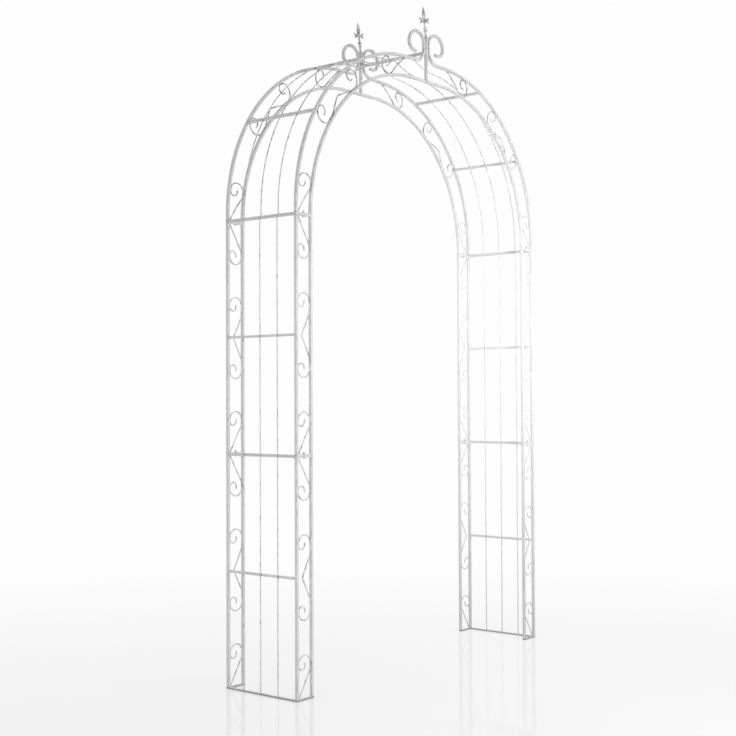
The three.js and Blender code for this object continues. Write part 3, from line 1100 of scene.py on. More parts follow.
@dataclass(frozen=True)
class Scrolls:
    """The scroll rods of one kind of ladder. They reach along it to the inner tube, and then to their curl."""

    foot_reach: float
    vertex_reach: float
    curl_reach: float
    vertex_share: float
    bend: float = 0.014
    hook_share: float = 0.54
    hook_run: float = 0.003
    tip_run: float = 0.006
    curl_steps: int = 18
    hook_steps: int = 14
    blunt_run: float = 0.3
    blunt_taper: float = 0.72
    foot_shift: float = 0.001
    foot_weld: float = 0.002
    touch_weld: Flat = (0.010, 0.0012)
    curl_weld: Flat = (-0.001, -0.0016)

    def curl(self, start: float) -> list[Flat]:
        """Gives the curl from the inner tube over to the outer one, with its hook.

        Args:
            start: Where the curl leaves the inner tube.

        Returns:
            The line.
        """
        radius = (FAR - NEAR) / 2
        hook = radius * self.hook_share
        turn = start - self.hook_run
        over = arc((start, FAR - radius), radius, QUARTER, -QUARTER, self.curl_steps)
        back = arc((turn, NEAR + hook), hook, -QUARTER, -3 * QUARTER, self.hook_steps)
        return [*over, *back, (turn + self.tip_run, NEAR + 2 * hook)]

    def half(self, foot: Flat) -> list[Flat]:
        """Gives the line of a scroll that starts at the foot of the ladder."""
        touch, start = (foot[0] + self.foot_reach, FAR), (foot[0] + self.curl_reach, FAR)
        return [foot, *rounded(foot, touch, start, self.bend), *self.curl(start[0])]

    def double(self, middle: float) -> list[Flat]:
        """Gives a scroll with a curl at both ends.

        Args:
            middle: The place of its vertex along the ladder.

        Returns:
            The line.
        """
        vertex = (middle, NEAR + (FAR - NEAR) * self.vertex_share)
        arms = []
        for way in (-1, 1):
            touch, start = ((middle + way * reach, FAR) for reach in (self.vertex_reach, self.curl_reach))
            end = [(middle + way * a, c) for a, c in self.curl(self.curl_reach)]
            arms.append([*rounded(vertex, touch, start, self.bend), *end])
        down, up = arms
        return [*reversed(down), *rounded(down[0], vertex, up[0], self.bend), *up]

    def arm_welds(self, foot: float, reach: float, way: int = 1) -> list[Flat]:
        """Gives the spots where an arm is welded to the inner tube and its curl to the outer one.

        Args:
            foot: Where the arm starts.
            reach: Its reach to the inner tube.
            way: 1 where it runs up the ladder, -1 where it runs down.

        Returns:
            The two spots.
        """
        touch, curl = self.touch_weld, self.curl_weld
        return [(foot + way * (reach + touch[0]), FAR + touch[1]),
                (foot + way * (self.curl_reach + curl[0]), NEAR + curl[1])]

    def rods(self, lines: Iterable[Sequence[Vector]]) -> list[Object]:
        """Bends scroll rods along their centre lines, each with a blunt tip at its last end.

        Args:
            lines: The centre lines.

        Returns:
            The rods.
        """
        rods = []
        for line in lines:
            run = line[1] - line[0]
            bar = DrawnBar(RoundRod(PLAN.scroll_rod), line[0], math.atan2(run.x, run.z)).follow(line[1:])
            rods.append(bar.straight(PLAN.scroll_rod * self.blunt_run).swell(self.blunt_taper).close(RUB_AND_SHADE.scroll))
        return rods


def end_plate(low: float, covered: float) -> Object:
    """Makes the flat that closes both tubes of a ladder, with its bolt hole.

    Args:
        low: The height of its underside.
        covered: The height of the face that lies against the next section.

    Returns:
        The plate.
    """
    half = PLAN.tube / 2
    plate = block((PLAN.inner_x - half, -half, low), (PLAN.half_width + half, half, low + PLAN.plate))
    at = (PLAN.half_width - PLAN.ladder_gap / 2, 0, low + PLAN.plate / 2)
    return keep_painted(drill(plate, at, PLAN.joint_hole, 3 * PLAN.plate), covered)


def welded_tube(x: float, low: float, high: float) -> Object:
    """Makes an upright tube between two heights, with a fillet of weld round each end."""
    tube = DrawnBar(SquareTube(), (x, 0, low)).weld_on()
    return tube.straight(high - low - 2 * PLAN.fillet).weld_off().close()


def cross_bar(low: float, high: float, covered: float | None = None) -> Object:
    """Makes a bar from the front frame to the back one.

    Args:
        low: The height of its underside.
        high: The height of its top.
        covered: The height of the face that lies against the next section, if one does.

    Returns:
        The bar.
    """
    x, half, span = PLAN.half_width, PLAN.tube / 2, PLAN.half_span
    bar = block((x - half, -span, low), (x + half, span, high))
    return bar if covered is None else keep_painted(bar, covered)


# Sub-assemblies


@dataclass(frozen=True)
class LegSection:
    """A leg section: two ladders of outer tube, inner rail and scrolls, and the side grid between them."""

    scrolls: Scrolls = Scrolls(0.092, 0.072, 0.109, 0.32)
    scroll_step: float = 0.012
    levels: tuple[str, ...] = ("lower", "upper")
    rod_inset: float = 0.0004
    bead: WeldBead = WeldBead(radius=0.0017, stretch=1.5)
    bead_place: Flat = (0.0006, 0.0016)

    def line(self, points: Iterable[Flat]) -> list[Vector]:
        """Takes points in ladder coordinates into the frame's plane."""
        return [in_plane(PLAN.half_width - across, along) for along, across in points]

    def outer_tube(self) -> Object:
        """Models the outer tube of a ladder.

        Returns:
            The tube, in the plane y = 0.
        """
        foot = PLAN.plate + PLAN.gap
        top = PLAN.section_length - foot
        tube = welded_tube(PLAN.half_width, foot, top)
        return note_joints(tube, [in_plane(PLAN.half_width, height) for height in (foot, PLAN.bar_pitch, top)])

    def inner_rail(self) -> Object:
        """Models the inner tube with its end plates and scrolls.

        Returns:
            The rail, in the plane y = 0.
        """
        x, length, scrolls = PLAN.inner_x, PLAN.section_length, self.scrolls
        low = close_spaced(scrolls.half((PLAN.plate, NEAR + scrolls.foot_shift)), self.scroll_step)
        high = [(length - along, across) for along, across in low]
        middle = close_spaced(scrolls.double(length / 2), self.scroll_step)
        parts = [welded_tube(x, PLAN.plate, length - PLAN.plate)]
        parts += [end_plate(0, 0), end_plate(length - PLAN.plate, length)]
        parts += scrolls.rods(map(self.line, (low, high, middle)))
        welds = [(PLAN.plate, NEAR + scrolls.foot_weld)]
        for foot, reach in ((PLAN.plate, scrolls.foot_reach), (length / 2, scrolls.vertex_reach)):
            welds += scrolls.arm_welds(foot, reach)
        welds += [(length - along, across) for along, across in welds]
        spots = self.line(welds)
        parts += WeldBead().place((spot, 0.0) for spot in spots)
        ends = [in_plane(x, height) for height in (PLAN.plate, length - PLAN.plate)]
        bolts = [in_plane(x + PLAN.ladder_gap / 2, height) for height in (0, length)]
        return note_joints(join(parts), spots + ends + bolts)

    def side_grid(self) -> Object:
        """Models the cross bars and the rods between the two ladders.

        Returns:
            The grid.
        """
        length, middle, half = PLAN.section_length, PLAN.bar_pitch, PLAN.cross_bar / 2
        bars = ((0, PLAN.plate, 0), (middle - half, middle + half, None), (length - PLAN.plate, length, length))
        parts = [cross_bar(*bar) for bar in bars]
        x = PLAN.half_width + (PLAN.tube / 2 + PLAN.rod - PLAN.sink)
        for y in PLAN.rod_places:
            rod = DrawnBar(RoundRod(), (x, y, self.rod_inset)).straight(length - 2 * self.rod_inset)
            parts.append(rod.close(RUB_AND_SHADE.rod))
        out, aside = self.bead_place
        spots = [
            Vector((PLAN.half_width + PLAN.tube / 2 + out, y + way * aside, (low + high) / 2))
            for y in PLAN.rod_places for low, high, _ in bars for way in (-1, 1)
        ]
        parts += self.bead.place((spot, 0.0) for spot in spots)
        ends = [
            Vector((PLAN.half_width, way * PLAN.half_span, height))
            for way in (-1, 1) for height in (0, middle, length)
        ]
        return note_joints(join(parts), spots + ends)

    def build(self) -> None:
        """Builds the four leg sections and puts them in place."""
        levels = [(level, i * PLAN.section_pitch) for i, level in enumerate(self.levels)]
        for piece, name in ((self.outer_tube(), "outer_tube"), (self.inner_rail(), "inner_rail")):
            spread_out(piece, Slot.PAINTED, [
                (f"{side.label}_{place.label}_{level}_{name}", side.move(place.y, z))
                for side in Side for place in Frame for level, z in levels
            ])
        spread_out(self.side_grid(), Slot.PAINTED, [
            (f"{side.label}_{level}_side_grid", side.move(0, z)) for side in Side for level, z in levels
        ])


@dataclass(frozen=True)
class Loop:
    """A side's loops: the straight run below, the last bend in degrees, and its length with the tail after it."""

    side: Side
    rise: float
    end_turn: float
    end_length: float


@dataclass(frozen=True)
class ArchHalf:
    """An arch half: two bent ladders with looped crown ends, and the grid between them."""

    scrolls: Scrolls = Scrolls(0.086, 0.069, 0.103, 0.6)
    scroll_step: float = 0.008
    vertex_angle_share: float = 0.5
    crown_scroll_inset: float = 0.129
    bar_shares: Flat = (0.364, 0.745)
    bar_edge: float = 0.0007
    upturn_radius: float = 0.050
    loop_radius: float = 0.044
    loop_end_radius: float = 0.028
    loops: tuple[Loop, ...] = (Loop(Side.RIGHT, 0.017, 90.0, 0.063), Loop(Side.LEFT, 0.012, 74.0, 0.054))
    lug: float = 0.0032
    strip_edge: float = 0.0005
    strip_overlap: float = 0.001
    turn_steps: int = 56
    loop_steps: int = 26
    end_steps: int = 12
    rod_end_radius: float = 0.20
    bead: WeldBead = WeldBead(radius=0.0021, stretch=1.2)
    bead_offset: float = 0.0045
    ridge_bead_offset: float = 0.001

    @property
    def middle_radius(self) -> float:
        """Radius of the line half way between the two tubes."""
        return PLAN.arch_radius - PLAN.ladder_gap / 2

    @property
    def vertex(self) -> float:
        """Place of the double scroll's vertex along the ladder."""
        return PLAN.spring_rise + self.middle_radius * QUARTER * self.vertex_angle_share

    @property
    def crown_foot(self) -> float:
        """Place of the crown scroll's foot along the ladder."""
        return PLAN.spring_rise + self.middle_radius * QUARTER + PLAN.crown_half_run - self.crown_scroll_inset

    def turn_at(self, along: float) -> float:
        """Gives the turn of the ladder at a place along it."""
        return max(along - PLAN.spring_rise, 0) / self.middle_radius

    def gap_at(self, turn: float) -> float:
        """Gives the distance between the two tubes in a direction from the outer curve's middle.

        Args:
            turn: The direction, in radians from level.

        Returns:
            The distance.
        """
        dx = PLAN.rail_centre[0] - PLAN.crown_half_run
        dz = PLAN.rail_centre[1] - PLAN.arch_base
        lead = dx * math.cos(turn) + dz * math.sin(turn)
        return PLAN.arch_radius - lead - math.sqrt(lead**2 - dx**2 - dz**2 + PLAN.rail_radius**2)

    def point(self, spot: Flat) -> Vector:
        """Takes a point in ladder coordinates into the frame's plane.

        Args:
            spot: The place along the ladder and across it.

        Returns:
            The point.
        """
        along, across = spot
        turn = self.turn_at(along)
        wider = (self.gap_at(turn) - PLAN.ladder_gap) * (across - NEAR) / (FAR - NEAR)
        radius = PLAN.arch_radius - across - wider
        base = PLAN.spring_height + min(along, PLAN.spring_rise)
        return in_plane(PLAN.crown_half_run + radius * math.cos(turn), base + radius * math.sin(turn))

    def bar_middle(self, share: float, y: float = 0.0) -> Vector:
        """Gives the middle of a tilted bar, or another point on its centre line.

        Args:
            share: The bar's share of the quarter turn.
            y: The depth of the point.

        Returns:
            The point.
        """
        turn = share * QUARTER
        x = PLAN.crown_half_run + PLAN.arch_radius * math.cos(turn)
        return in_plane(x, PLAN.arch_base + PLAN.arch_radius * math.sin(turn)) + Vector((0, y, 0))

    def outer_tube(self, loop: Loop) -> Object:
        """Bends the outer tube: up, round the quarter turn, up beside the post and over in a loop.

        Args:
            loop: The loop at its end.

        Returns:
            The tube, in the plane y = 0.
        """
        start = PLAN.spring_height + PLAN.plate + PLAN.gap
        upturn_x = PLAN.post_width / 2 + self.lug + PLAN.gap + PLAN.tube / 2
        end_turn = math.radians(loop.end_turn)
        bar = DrawnBar(SquareTube(), (PLAN.half_width, 0, start)).weld_on()
        bar.straight(PLAN.arch_base - start - PLAN.fillet)
        bar.bend(PLAN.arch_radius, QUARTER, self.turn_steps)
        bar.straight(PLAN.crown_half_run - upturn_x - self.upturn_radius)
        bar.bend(self.upturn_radius, -QUARTER, self.end_steps)
        bar.straight(loop.rise).bend(self.loop_radius, -2 * QUARTER, self.loop_steps)
        bar.bend(self.loop_end_radius, -end_turn, self.end_steps)
        bar.end_cap(loop.end_length - self.loop_end_radius * end_turn)
        joints = [in_plane(PLAN.half_width, start), in_plane(upturn_x, PLAN.ridge_height)]
        return note_joints(bar.close(), joints + [self.bar_middle(share) for share in self.bar_shares])

    def crown_strip(self, layer: int) -> list[Object]:
        """Makes one layer of the post, with the tab in the tube's end and the lug to the outer tube.

        Args:
            layer: 1 for the layer towards +y, -1 for the other.

        Returns:
            The strip's parts.
        """
        thick = (PLAN.tube - PLAN.tang) / 2 - PLAN.gap
        inner = layer * (PLAN.tang / 2 + PLAN.gap)
        near, far = sorted((inner, inner + layer * thick))
        half, tube, overlap = PLAN.post_width / 2, PLAN.tube / 2, PLAN.post_width / 2 - self.strip_overlap
        strip, lug, tab = (
            block((left, near, low), (right, far, high), self.strip_edge)
            for left, right, low, high in (
                (-half, half, PLAN.post_bottom, PLAN.post_top),
                (overlap, half + self.lug, PLAN.ridge_height - tube, PLAN.ridge_height + tube),
                (overlap, half + PLAN.gap + PLAN.sink, PLAN.post_bottom, PLAN.inner_top + tube),
            )
        )
        for height in PLAN.post_holes:
            drill(strip, (0, (near + far) / 2, height), PLAN.post_hole, 3 * thick, (QUARTER, 0, 0))
        return [keep_painted(part, inner, 1) for part in (strip, lug, tab)]

    def scroll_lines(self) -> list[list[Vector]]:
        """Gives the lines of the three scroll rods, from the spring to the crown.

        Returns:
            The lines, in the frame's plane.
        """
        scrolls = self.scrolls
        spring = scrolls.half((PLAN.plate, NEAR + scrolls.foot_shift))
        crown = [(self.crown_foot - along, across) for along, across in scrolls.half((0, NEAR - scrolls.foot_shift))]
        lines = (spring, scrolls.double(self.vertex), crown)
        return [[self.point(spot) for spot in close_spaced(line, self.scroll_step)] for line in lines]

    def welds(self) -> list[tuple[Vector, float]]:
        """Gives the places of the scrolls' welds.

        Returns:
            The place of each bead, and its turn about Y.
        """
        scrolls = self.scrolls
        welds = [(PLAN.plate, NEAR + scrolls.foot_weld), (self.crown_foot, NEAR - scrolls.foot_weld)]
        for foot, reach, way in (
            (PLAN.plate, scrolls.foot_reach, 1),
            (self.vertex, scrolls.vertex_reach, 1),
            (self.vertex, scrolls.vertex_reach, -1),
            (self.crown_foot, scrolls.foot_reach, -1),
        ):
            welds += scrolls.arm_welds(foot, reach, way)
        return [(self.point(spot), -self.turn_at(spot[0])) for spot in welds]

    def inner_rail(self, layer: int) -> Object:
        """Models the inner tube with its end plate, crown strip and scrolls.

        Args:
            layer: The layer of the post that its strip makes, 1 towards +y or -1.

        Returns:
            The rail, in the plane y = 0.
        """
        x, low = PLAN.inner_x, PLAN.spring_height + PLAN.plate
        tube = DrawnBar(SquareTube(), (x, 0, low)).weld_on().bend(PLAN.rail_radius, QUARTER, self.turn_steps)
        tube.end_cap(PLAN.rail_centre[0] - PLAN.post_width / 2 - PLAN.gap)
        parts = [tube.close(), end_plate(PLAN.spring_height, PLAN.spring_height), *self.crown_strip(layer)]
        parts += self.scrolls.rods(self.scroll_lines())
        welds = self.welds()
        parts += WeldBead().place(welds)
        joints = [spot for spot, _ in welds] + [in_plane(x, low), in_plane(x + PLAN.ladder_gap / 2, low)]
        joints += [in_plane(0, height) for height in (*PLAN.post_holes, PLAN.ridge_height, PLAN.inner_top)]
        return note_joints(join(parts), joints)

    def tilted_bar(self, share: float) -> Object:
        """Makes a cross bar that is tilted with the arch.

        Args:
            share: The bar's share of the quarter turn.

        Returns:
            The bar.
        """
        half = PLAN.tube / 2
        low, high = ((way * half, way * PLAN.half_span, way * PLAN.cross_bar / 2) for way in (-1, 1))
        bar = block(low, high, self.bar_edge)
        bar.data.transform(Matrix.Translation(self.bar_middle(share)) @ Matrix.Rotation(-share * QUARTER, 4, "Y"))
        return bar

    def rod_line(self, end: Flat) -> list[Flat]:
        """Gives the line of a grid rod round the arch, with an easy bend to its end at the ridge flat.

        Args:
            end: The rod's end.

        Returns:
            The line, as x and z.
        """
        line = arc((PLAN.crown_half_run, PLAN.arch_base), PLAN.arch_radius, 0, QUARTER, self.turn_steps)
        bend = rounded(line[-2], line[-1], end, self.rod_end_radius, 4)
        return close_spaced([*line[:-2], *bend, end], PLAN.step)

    def grid(self) -> Object:
        """Models the cross bars, the ridge flat and the bent rods between the two frames.

        Returns:
            The grid.
        """
        half, span, face, ridge = PLAN.tube / 2, PLAN.half_span, PLAN.gap / 2, PLAN.ridge_height
        parts = [cross_bar(PLAN.spring_height, PLAN.spring_height + PLAN.plate, PLAN.spring_height)]
        parts += [self.tilted_bar(share) for share in self.bar_shares]
        parts.append(block((face, -span, ridge - half), (face + PLAN.plate, span, ridge + half)))
        line = self.rod_line((face + PLAN.plate - PLAN.sink, ridge))
        for y in PLAN.rod_places:
            rod = DrawnBar(RoundRod(), (PLAN.half_width, y, PLAN.spring_height + PLAN.plate / 2))
            parts.append(rod.follow([Vector((x, y, z)) for x, z in line]).close(RUB_AND_SHADE.rod))
        spots = [(self.bar_middle(share, y), share * QUARTER) for share in self.bar_shares for y in PLAN.rod_places]
        beads = [
            (spot + way * in_plane(math.sin(turn), -math.cos(turn)) * self.bead_offset, -turn)
            for spot, turn in spots for way in (-1, 1)
        ]
        outer = face + PLAN.plate + self.ridge_bead_offset
        beads += [(Vector((outer, y, ridge)), QUARTER) for y in PLAN.rod_places]
        parts += self.bead.place(beads)
        joints = [spot for spot, _ in spots + beads]
        for way in (-1, 1):
            joints.append(Vector((face, way * PLAN.ridge_bolt_share * PLAN.frame_depth, ridge)))
            joints += [self.bar_middle(share, way * span) for share in self.bar_shares]
        return note_joints(join(parts), joints)

    def build(self) -> None:
        """Builds both arch halves and puts them in place."""
        for loop in self.loops:
            spread_out(self.outer_tube(loop), Slot.PAINTED, [
                (f"{loop.side.label}_{place.label}_arch_outer_tube", loop.side.move(place.y)) for place in Frame
            ])
        for place in Frame:
            # The right half's strip is the inner layer of each post, and the left half's, turned round, the outer one
            spread_out(self.inner_rail(-place.value), Slot.PAINTED, [
                (f"{side.label}_{place.label}_arch_inner_rail", side.move(place.y)) for side in Side
            ])
        spread_out(self.grid(), Slot.PAINTED, [(f"{side.label}_arch_grid", side.move()) for side in Side])


@dataclass(frozen=True)
class Finial:
    """A finial: a tang and cap on the post, a stem with two collars, a cross and a spearhead, leaning left."""

    lean_share: float = 0.165
    stem: float = 0.0042
    stem_foot: tuple[Flat, ...] = ((1.35, -0.002), (1.3, 0.0006), (1.0, 0.002))
    barrel: float = 0.0045
    neck: float = 0.0037
    collar: float = 0.008
    collar_height: float = 0.007
    collar_shoulder: Flat = (0.55, 0.72)
    collar_round: Flat = (0.96, 0.35)
    collars: Flat = (0.026, 0.038)
    cross: float = 0.065
    half_span: float = 0.029
    thickness: float = 0.006
    prong: float = 0.009
    rise: float = 0.0075
    fork_share: float = 0.45
    fork_run: float = 0.45
    fork_flare: float = 1.45
    lower_share: float = 0.88
    prong_taper: float = 0.85
    prong_turn: float = 0.5
    prong_inset: float = 0.3
    prong_edge: Flat = (0.0006, 0.6)
    spear: float = 0.050
    spear_width: float = 0.0185
    spear_ridge: Flat = (0.0004, 0.9)
    spear_outline: tuple[Flat, ...] = (
        (0.40, -0.05), (0.46, 0.06), (0.80, 0.18), (1.0, 0.30), (0.94, 0.42),
        (0.72, 0.60), (0.42, 0.80), (0.25, 0.91), (0.27, 0.96), (0.16, 1.0),
    )
    cap: float = 0.004
    tang_edge: float = 0.0003
    joint_spread: float = 0.008

    def stem_piece(self) -> Object:
        """Turns the stem with its collars.

        Returns:
            The stem.
        """
        low, high = self.collars
        profile = [(self.stem * wide, self.cap + height) for wide, height in self.stem_foot]
        for middle, before, after in ((low, self.stem, self.barrel), (high, self.barrel, self.neck)):
            for way, stem in ((-1, before), (1, after)):
                half = way * self.collar_height / 2
                side = [
                    (stem, middle + half),
                    (stem + (self.collar - stem) * self.collar_shoulder[0], middle + half * self.collar_shoulder[1]),
                    (self.collar * self.collar_round[0], middle + half * self.collar_round[1]),
                ]
                profile += [*side, (self.collar, middle)] if way < 0 else side[::-1]
        profile.append((self.neck, self.cross))
        return note_rubbing(turned(PLAN.post_top, profile, 20), RUB_AND_SHADE.stem)

    def spear_piece(self) -> Object:
        """Forges the spearhead, with a diamond section and a leaf outline.

        Returns:
            The spearhead.
        """
        profile = [(self.spear_width / 2 * wide, self.spear * high) for wide, high in self.spear_outline]
        spear = soften(turned(PLAN.post_top + self.cross, profile, 4), *self.spear_ridge)
        return note_rubbing(spear, RUB_AND_SHADE.spear)

    def arm(self, side: int) -> Object:
        """Forges one arm of the cross: a bar that forks into an upper and a lower prong.

        Args:
            side: 1 for the right arm, -1 for the left.

        Returns:
            The arm.
        """
        lay_down()
        neck = self.half_span * self.fork_share
        fork = neck + self.prong * self.fork_run
        level = PLAN.post_top + self.cross
        bpy.ops.mesh.primitive_cube_add(
            size=1.0, location=(side * neck / 2, 0, level), scale=(neck, self.thickness, self.prong))
        arm = open_up(settle())
        pick(arm, lambda face: face.normal.x * side > 0.9)
        extrude((side * (fork - neck), 0, 0))
        bpy.ops.transform.resize(value=(1, 1, self.fork_flare), center_override=(side * fork, 0, level))
        bpy.ops.mesh.subdivide(number_cuts=1)
        for way, span in ((1, self.half_span), (-1, self.half_span * self.lower_share)):
            pick(arm, lambda face, way=way: (
                face.normal.x * side > 0.9
                and (face.calc_center_median().z - level) * way > 0
                and abs(face.calc_center_median().x) < fork + 1e-5
            ))
            start = in_plane(side * fork, level + way * self.prong * self.fork_flare / 4)
            tip = in_plane(side * (span - self.prong * self.prong_inset), level + way * self.rise)
            extrude(tip - start)
            bpy.ops.transform.resize(value=(1, 1, self.prong_taper), center_override=tip)
            bpy.ops.transform.rotate(value=side * way * self.prong_turn, orient_axis="Y", center_override=tip)
        return note_rubbing(soften(tidy_shell(arm), *self.prong_edge), RUB_AND_SHADE.arm)

    def piece(self) -> Object:
        """Models the whole finial.

        Returns:
            The finial, over the origin.
        """
        seat, half = PLAN.post_top + PLAN.gap, PLAN.post_width / 2
        cap = block((-half, -PLAN.tube / 2, seat), (half, PLAN.tube / 2, seat + self.cap))
        low, high = (-half, -PLAN.tang / 2, PLAN.post_bottom), (half, PLAN.tang / 2, seat + self.cap / 2)
        tang = note_rubbing(block(low, high, self.tang_edge), RUB_AND_SHADE.covered)
        leaning = join([self.stem_piece(), self.spear_piece(), self.arm(1), self.arm(-1)])
        hinge = Matrix.Translation((0, 0, seat + self.cap / 2))
        leaning.data.transform(hinge @ Matrix.Rotation(-math.atan(self.lean_share), 4, "Y") @ hinge.inverted())
        return note_joints(join([cap, tang, leaning]), [in_plane(0, seat)], self.joint_spread)

    def build(self) -> None:
        """Builds both finials."""
        spread_out(self.piece(), Slot.PAINTED, [
            (f"{place.label}_finial", Matrix.Translation((0, place.y, 0))) for place in Frame
        ])


@dataclass(frozen=True)
class Bolt:
    """A domed bolt with its nut. Both stand along Z, with the head's seat at the origin."""

    radius: float
    head: float
    head_height: float
    flats: float
    nut_height: float
    tail: float
    pitch: float = 0.0008
    head_edge: float = 0.0002
    nut_play: float = 0.0001
    nut_profile: tuple[Flat, ...] = ((0.90, 0.0), (1.0, 0.16), (1.0, 0.84), (0.90, 1.0))
    nut_edge: Flat = (0.0003, 0.3)
    dome: tuple[float, ...] = (0.18, 0.45, 0.75, 1.05, 1.35)
    thread_start: float = 0.5
    thread: tuple[Flat, ...] = ((0.86, 0.45), (1.0, 0.9))
    tip: float = 0.8

    def bolt(self, grip: float, nutted: bool = True) -> Object:
        """Turns the bolt.

        Args:
            grip: The thickness that it holds.
            nutted: Whether a nut goes on its end.

        Returns:
            The bolt.
        """
        profile = [
            (self.head * math.sin(turn), -self.head_height * math.cos(turn) - self.head_edge)
            for turn in self.dome
        ]
        profile += [(self.head, -self.head_edge), (self.head, 0.0), (self.radius, 0.0), (self.radius, grip)]
        if nutted:
            end = grip + self.nut_height + self.tail
            height = grip + self.nut_height * self.thread_start
            while height + self.pitch < end:
                profile += [(self.radius * wide, height + self.pitch * high) for wide, high in self.thread]
                height += self.pitch
            profile.append((self.radius * self.tip, end))
        return note_joints(note_rubbing(turned(0, profile, 20), RUB_AND_SHADE.bolt), [])

    def nut(self) -> Object:
        """Makes the nut, with its corners chamfered at both faces.

        Returns:
            The nut.
        """
        across = self.flats / 2 / math.cos(math.pi / 6)
        nut = turned(0, [(across * wide, self.nut_height * high) for wide, high in self.nut_profile], 6)
        soften(nut, *self.nut_edge)
        drill(nut, (0, 0, self.nut_height / 2), self.radius + self.nut_play, 3 * self.nut_height)
        return note_joints(nut, [])


@dataclass(frozen=True)
class Fasteners:
    """The bolts, nuts and screws of the joints, the ridge and the posts."""

    joint: Bolt = Bolt(0.0025, 0.0055, 0.0035, 0.008, 0.004, 0.003)
    post: Bolt = Bolt(0.0017, 0.0035, 0.0024, 0.006, 0.0026, 0.0015, 0.0005)
    nut_turn: float = 0.4

    def build_joints(self) -> None:
        """Builds the bolts of the legs' joints and the ridge, and their nuts, and puts them in place."""
        x, grip = PLAN.half_width - PLAN.ladder_gap / 2, 2 * PLAN.plate + 3 * PLAN.gap
        face = PLAN.gap / 2 + PLAN.plate + PLAN.gap
        across = Matrix.Rotation(QUARTER, 4, "Y")
        bolts, ridge_bolts, nuts = [], [], []
        for i, (side, place, (level, joint)) in enumerate(product(Side, Frame, ((1, "mid"), (2, "spring")))):
            name, z = f"{side.label}_{place.label}_{joint}_joint", level * PLAN.section_pitch + PLAN.plate + PLAN.gap
            bolts.append((f"{name}_bolt", Matrix.Translation((side.value * x, place.y, z - grip))))
            turn = Matrix.Rotation(self.nut_turn * i, 4, "Z")
            nuts.append((f"{name}_nut", Matrix.Translation((side.value * x, place.y, z)) @ turn))
        for place in Frame:
            y = place.value * PLAN.ridge_bolt_share * PLAN.frame_depth
            for kind, places, way in (("bolt", ridge_bolts, -1), ("nut", nuts, 1)):
                move = Matrix.Translation((way * face, y, PLAN.ridge_height)) @ across
                places.append((f"{place.label}_ridge_{kind}", move))
        spread_out(self.joint.bolt(grip), Slot.FASTENER, bolts)
        spread_out(self.joint.bolt(2 * face), Slot.FASTENER, ridge_bolts)
        spread_out(self.joint.nut(), Slot.FASTENER, nuts)

    def build_posts(self) -> None:
        """Builds the bolts, nuts and screws of the posts and puts them in place."""
        low, high = PLAN.post_holes
        seat = PLAN.tube / 2 + PLAN.gap
        for kind, piece, way, height in (
            ("bolt", self.post.bolt(PLAN.tube + 2 * PLAN.gap), 1, low),
            ("nut", self.post.nut(), -1, low),
            ("screw", self.post.bolt(PLAN.tube + PLAN.gap, False), 1, high),
        ):
            spread_out(piece, Slot.FASTENER, [
                (f"{place.label}_post_{kind}",
                 Matrix.Translation((0, place.y + way * place.value * seat, height))
                 @ Matrix.Rotation(place.value * QUARTER, 4, "X"))
                for place in Frame
            ])

    def build(self) -> None:
        """Builds all the fasteners."""
        self.build_joints()
        self.build_posts()


# The studio


@dataclass(frozen=True)
class SoftBox:
    """A square soft lamp, its place, what it is aimed at, its width, power and beam in degrees."""

    name: str
    place: Triple
    aim: Triple
    width: float
    power: float
    beam: float

    def build(self) -> None:
        """Puts the lamp in the studio."""
        light = bpy.data.lights.new(self.name, "AREA")
        light.shape, light.size, light.energy = "SQUARE", self.width, self.power
        light.spread = math.radians(self.beam)
        lamp = bpy.data.objects.new(self.name, light)
        lamp.visible_camera = lamp.visible_glossy = False
        bpy.context.scene.collection.objects.link(lamp)
        lamp.location = self.place
        lamp.rotation_euler = (Vector(self.place) - Vector(self.aim)).to_track_quat("Z", "Y").to_euler()


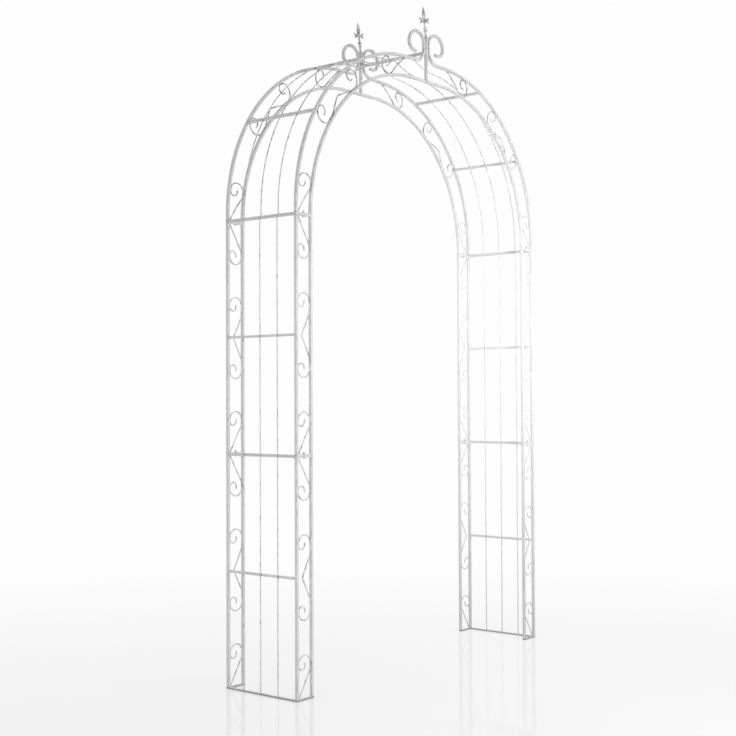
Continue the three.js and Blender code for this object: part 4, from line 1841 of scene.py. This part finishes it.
@dataclass(frozen=True)
class Studio:
    """Pale glossy floor, white surroundings, soft light and the camera."""

    eye: Triple = (-3.78686, -2.95698, 0.96697)
    yaw: float = 0.8877
    pitch: float = 0.0228
    roll: float = -0.0040
    lens: float = 63.514
    floor_radius: float = 14.0
    floor_colour: tuple[float, ...] = (0.90, 0.895, 0.905, 1)
    floor_depth: float = 0.0005
    backdrop: float = 0.985
    fill: float = 0.43
    glow: float = 0.28
    shade: Triple = (-1.45, -0.9, 0.0)
    fade: float = 5.2
    top: float = 1.1
    top_spread: float = math.radians(60)
    lamps: tuple[SoftBox, ...] = (
        SoftBox("left_lamp", (-2.5, -0.9, 1.0), (-0.7, 0.0, 1.0), 0.9, 2.4, 150.0),
        SoftBox("front_lamp", (-0.1, -2.4, 1.0), (-0.4, 0.0, 1.0), 0.9, 8.4, 120.0),
        SoftBox("right_lamp", (-0.9, -2.2, 1.25), (0.69, 0.0, 1.48), 0.5, 6.2, 58.0),
    )

    def camera(self) -> None:
        """Sets up the camera at the photograph's viewing angle."""
        lens = bpy.data.cameras.new("camera")
        lens.lens = self.lens
        camera = bpy.data.objects.new("camera", lens)
        bpy.context.scene.collection.objects.link(camera)
        camera.location = self.eye
        turn = Matrix.Rotation(-self.yaw, 3, "Z") @ Matrix.Rotation(QUARTER + self.pitch, 3, "X")
        camera.rotation_euler = (turn @ Matrix.Rotation(self.roll, 3, "Z")).to_euler()
        bpy.context.scene.camera = camera

    def floor(self) -> None:
        """Lays a round floor that fades into the backdrop at its edge."""
        lay_down()
        bpy.ops.mesh.primitive_circle_add(
            vertices=96, radius=self.floor_radius, fill_type="NGON", location=(0, 0, -self.floor_depth))
        floor = settle()
        floor.name = "studio_floor"
        shader = Shader("pale glossy floor")
        shader.give(Base_Color=self.floor_colour, Roughness=0.07, IOR=1.5)
        distance = shader.node("VectorMath", shader.place(), self.shade, operation="DISTANCE").outputs["Value"]
        fade = shader.level(shader.between(distance, (0.0, self.fade)), (self.glow, 1.0))
        share = shader.node("Math", fade, shader.seen_rays(), operation="MULTIPLY").outputs[0]
        shader.mix_into("Material Output", share, shader.surface, shader.node("Emission", Strength=self.backdrop))
        floor.data.materials.append(shader.material)

    def light(self) -> None:
        """Sets the surroundings and the lamps."""
        world = bpy.data.worlds.new("studio")
        bpy.context.scene.world = world
        world.use_nodes = True
        nodes = Nodes(world.node_tree)
        lit, seen = world.node_tree.nodes["Background"], nodes.node("Background")
        for background, strength in ((lit, self.fill), (seen, self.backdrop)):
            background.inputs["Color"].default_value = (1, 1, 1, 1)
            background.inputs["Strength"].default_value = strength
        nodes.mix_into("World Output", nodes.seen_rays(), lit, seen)
        sky = bpy.data.lights.new("top_lamp", "SUN")
        sky.energy, sky.angle = self.top, self.top_spread
        bpy.context.scene.collection.objects.link(bpy.data.objects.new("top_lamp", sky))
        for lamp in self.lamps:
            lamp.build()

    def build(self) -> None:
        """Sets up the studio."""
        bpy.context.scene.view_settings.view_transform = "Standard"
        self.camera()
        self.floor()
        self.light()


def main() -> None:
    """Builds the arch piece by piece, then the studio."""
    logging.basicConfig(level=logging.INFO, format="%(name)s: %(message)s")
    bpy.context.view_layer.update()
    for part in (LegSection(), ArchHalf(), Finial(), Fasteners()):
        part.build()
        log.info("%s built", type(part).__name__)
    Studio().build()
    lay_down()


if __name__ == "__main__":
    main()
